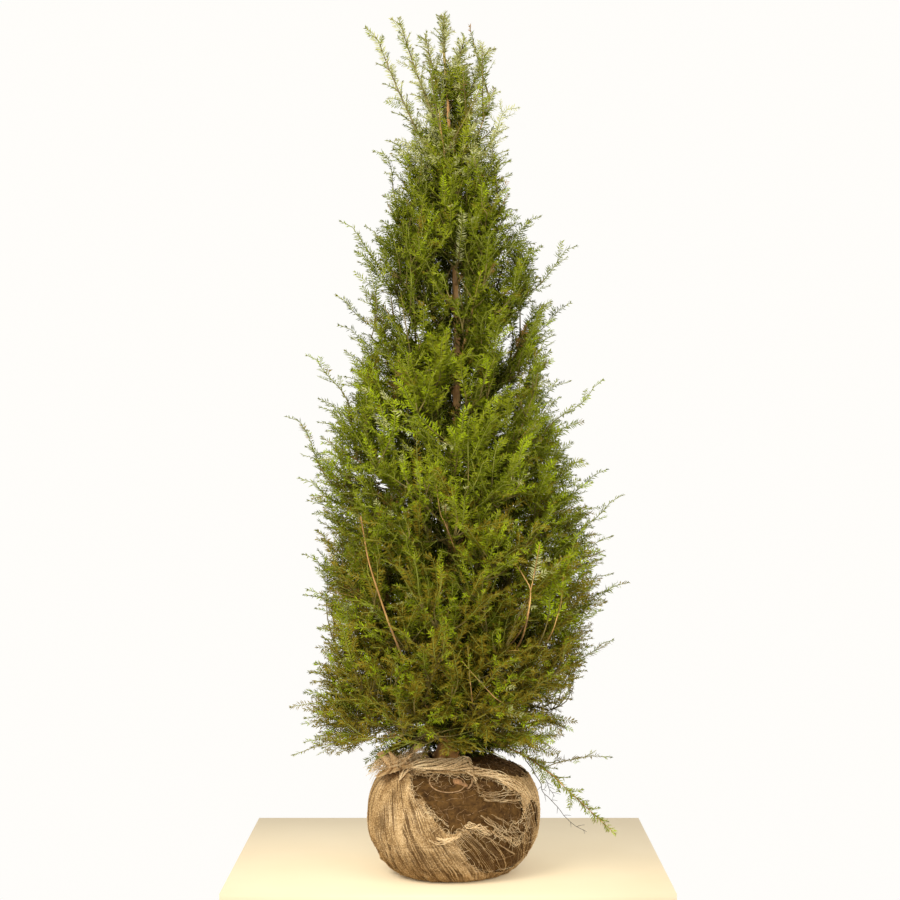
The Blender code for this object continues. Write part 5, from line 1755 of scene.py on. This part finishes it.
def make_needles():
    rng = np.random.default_rng(SEED + 400)
    ends = shoot_lines[:, -1]
    bright = (rng.uniform(0, 1, len(ends)) < 0.07) * 1.2
    sprig_tilts = spray_tilts[sprig_parents] + rng.normal(0, 0.2, len(sprig_lines))
    of = sprig_parents
    shoot_part = (shoot_lines, shoot_lengths, spray_tilts, shoot_depths, ends, 1.0, bright)
    sprig_part = (
        sprig_lines, sprig_lengths * 0.97, sprig_tilts, shoot_depths[of], ends[of], SPRIG_NEEDLES,
        bright[of] + 0.1,
    )
    corners = []
    choices = []
    for lines, lengths, tilt, depth, tips, size, young in (shoot_part, sprig_part):
        old, new = [colour_shares(tips, depth, young + more, rng) for more in (0, 0.75)]
        deep = np.clip((0.80 - depth) / 0.20, 0, 1)
        *stations, back, owner = needle_stations(lines, lengths, tilt, deep, rng)
        corners.append(lay_needles(*stations, back, size * blend(1.0, DEEP_SIZE, deep)[owner], rng))
        tender = back < rng.uniform(0.012, 0.034, len(lines))[owner]
        choices.append(np.where(tender, new[owner], old[owner]))
    corners.append(lay_tufts(rng))
    choices.append(rng.integers(DEEP, OLIVE, len(corners[-1])))
    corners = np.concatenate(corners)
    choice = np.concatenate(choices)
    masses = [f"foliage_{number + 1:02d}" for number in range(BOUGHS)] + ["foliage_droop"]
    masses += [f"foliage_leader_{number + 1}" for number in range(len(LEADERS))]
    for at, (name, colour, roughness) in enumerate(NEEDLE_FINISHES):
        finish = Finish("needle_" + name, colour, roughness)
        finish.show("Specular IOR Level", NEEDLE_GLOSS)
        mine = corners[choice == at]
        pieces = max(math.ceil(len(mine) / PIECE_NEEDLES), 1)
        for number, part in enumerate(np.array_split(mine, pieces)):
            first = np.arange(len(part))[:, None] * 4
            faces = np.vstack([first + (0, 1, 2), first + (0, 2, 3)])
            piece = make_piece(f"needles_{name}_{number + 1}", part, [faces], finish.material, smooth=False)
            settle(piece, "foliage", *masses)
            masses = []


make_needles()


# Floor, light and camera
# A cream board on a white ground, as in a nursery's stock picture, under soft light from the upper left.
# The camera looks level from 4.5 m away, halfway up the plant.
BOARD_BOX = ((-0.525, -0.225, -0.03), (0.505, 0.66, 0.0))
BOARD_CREAM = (0.93, 0.80, 0.585)
BOARD_CLOUDS = ((0.80, 0.68, 0.47), (0.74, 0.60, 0.38))
GROUND_WHITE = (1.0, 0.985, 0.955, 1.0)
# Lights: name, place, size, power and colour.
LIGHTS = (
    ("key", (-2.2, -3.2, 3.4), 2.0, 190.0, (1.0, 0.965, 0.90)),
    ("fill", (2.8, -2.4, 1.6), 2.4, 60.0, (1.0, 0.98, 0.95)),
)
LIGHT_AIM = (0.0, 0.0, 0.9)
CAMERA_PLACE = (0.0, -4.5, 0.999)
CAMERA_LENS = 76.0
CAMERA_SHIFT = -2.5 / 900


def make_board():
    finish = Finish("board", BOARD_CREAM, 0.7)
    cloudy = finish.noise(finish.place(), 3.0, 3.0, 0.5)
    finish.show("Base Color", finish.mix(cloudy, *BOARD_CLOUDS))
    x, y, z = zip(*BOARD_BOX)
    corners = [(across, away, up) for up in z for away in y for across in x]
    faces = np.array([(0, 2, 3, 1), (4, 5, 7, 6), (0, 1, 5, 4), (2, 6, 7, 3), (0, 4, 6, 2), (1, 3, 7, 5)])
    make_piece("board", corners, [faces], finish.material, smooth=False)


def add_light(name, place, size, power, colour):
    light = bpy.data.lights.new(name, "AREA")
    light.size = size
    light.energy = power
    light.color = colour
    lamp = put(name, light)
    lamp.location = place
    across, away, up = np.subtract(LIGHT_AIM, place)
    lamp.rotation_euler = (math.atan2(math.hypot(across, away), -up), 0, math.atan2(-across, away))


def light_scene():
    world = bpy.data.worlds.new("white")
    world.use_nodes = True
    world.node_tree.nodes["Background"].inputs[0].default_value = GROUND_WHITE
    bpy.context.scene.world = world
    for light in LIGHTS:
        add_light(*light)
    bpy.context.scene.view_settings.view_transform = "Standard"


def place_camera():
    lens = bpy.data.cameras.new("camera")
    lens.lens = CAMERA_LENS
    lens.sensor_width = 36.0
    lens.shift_x = CAMERA_SHIFT
    camera = put("camera", lens)
    camera.location = CAMERA_PLACE
    camera.rotation_euler = (math.radians(90), 0, 0)
    bpy.context.scene.camera = camera


make_board()
light_scene()
place_camera()
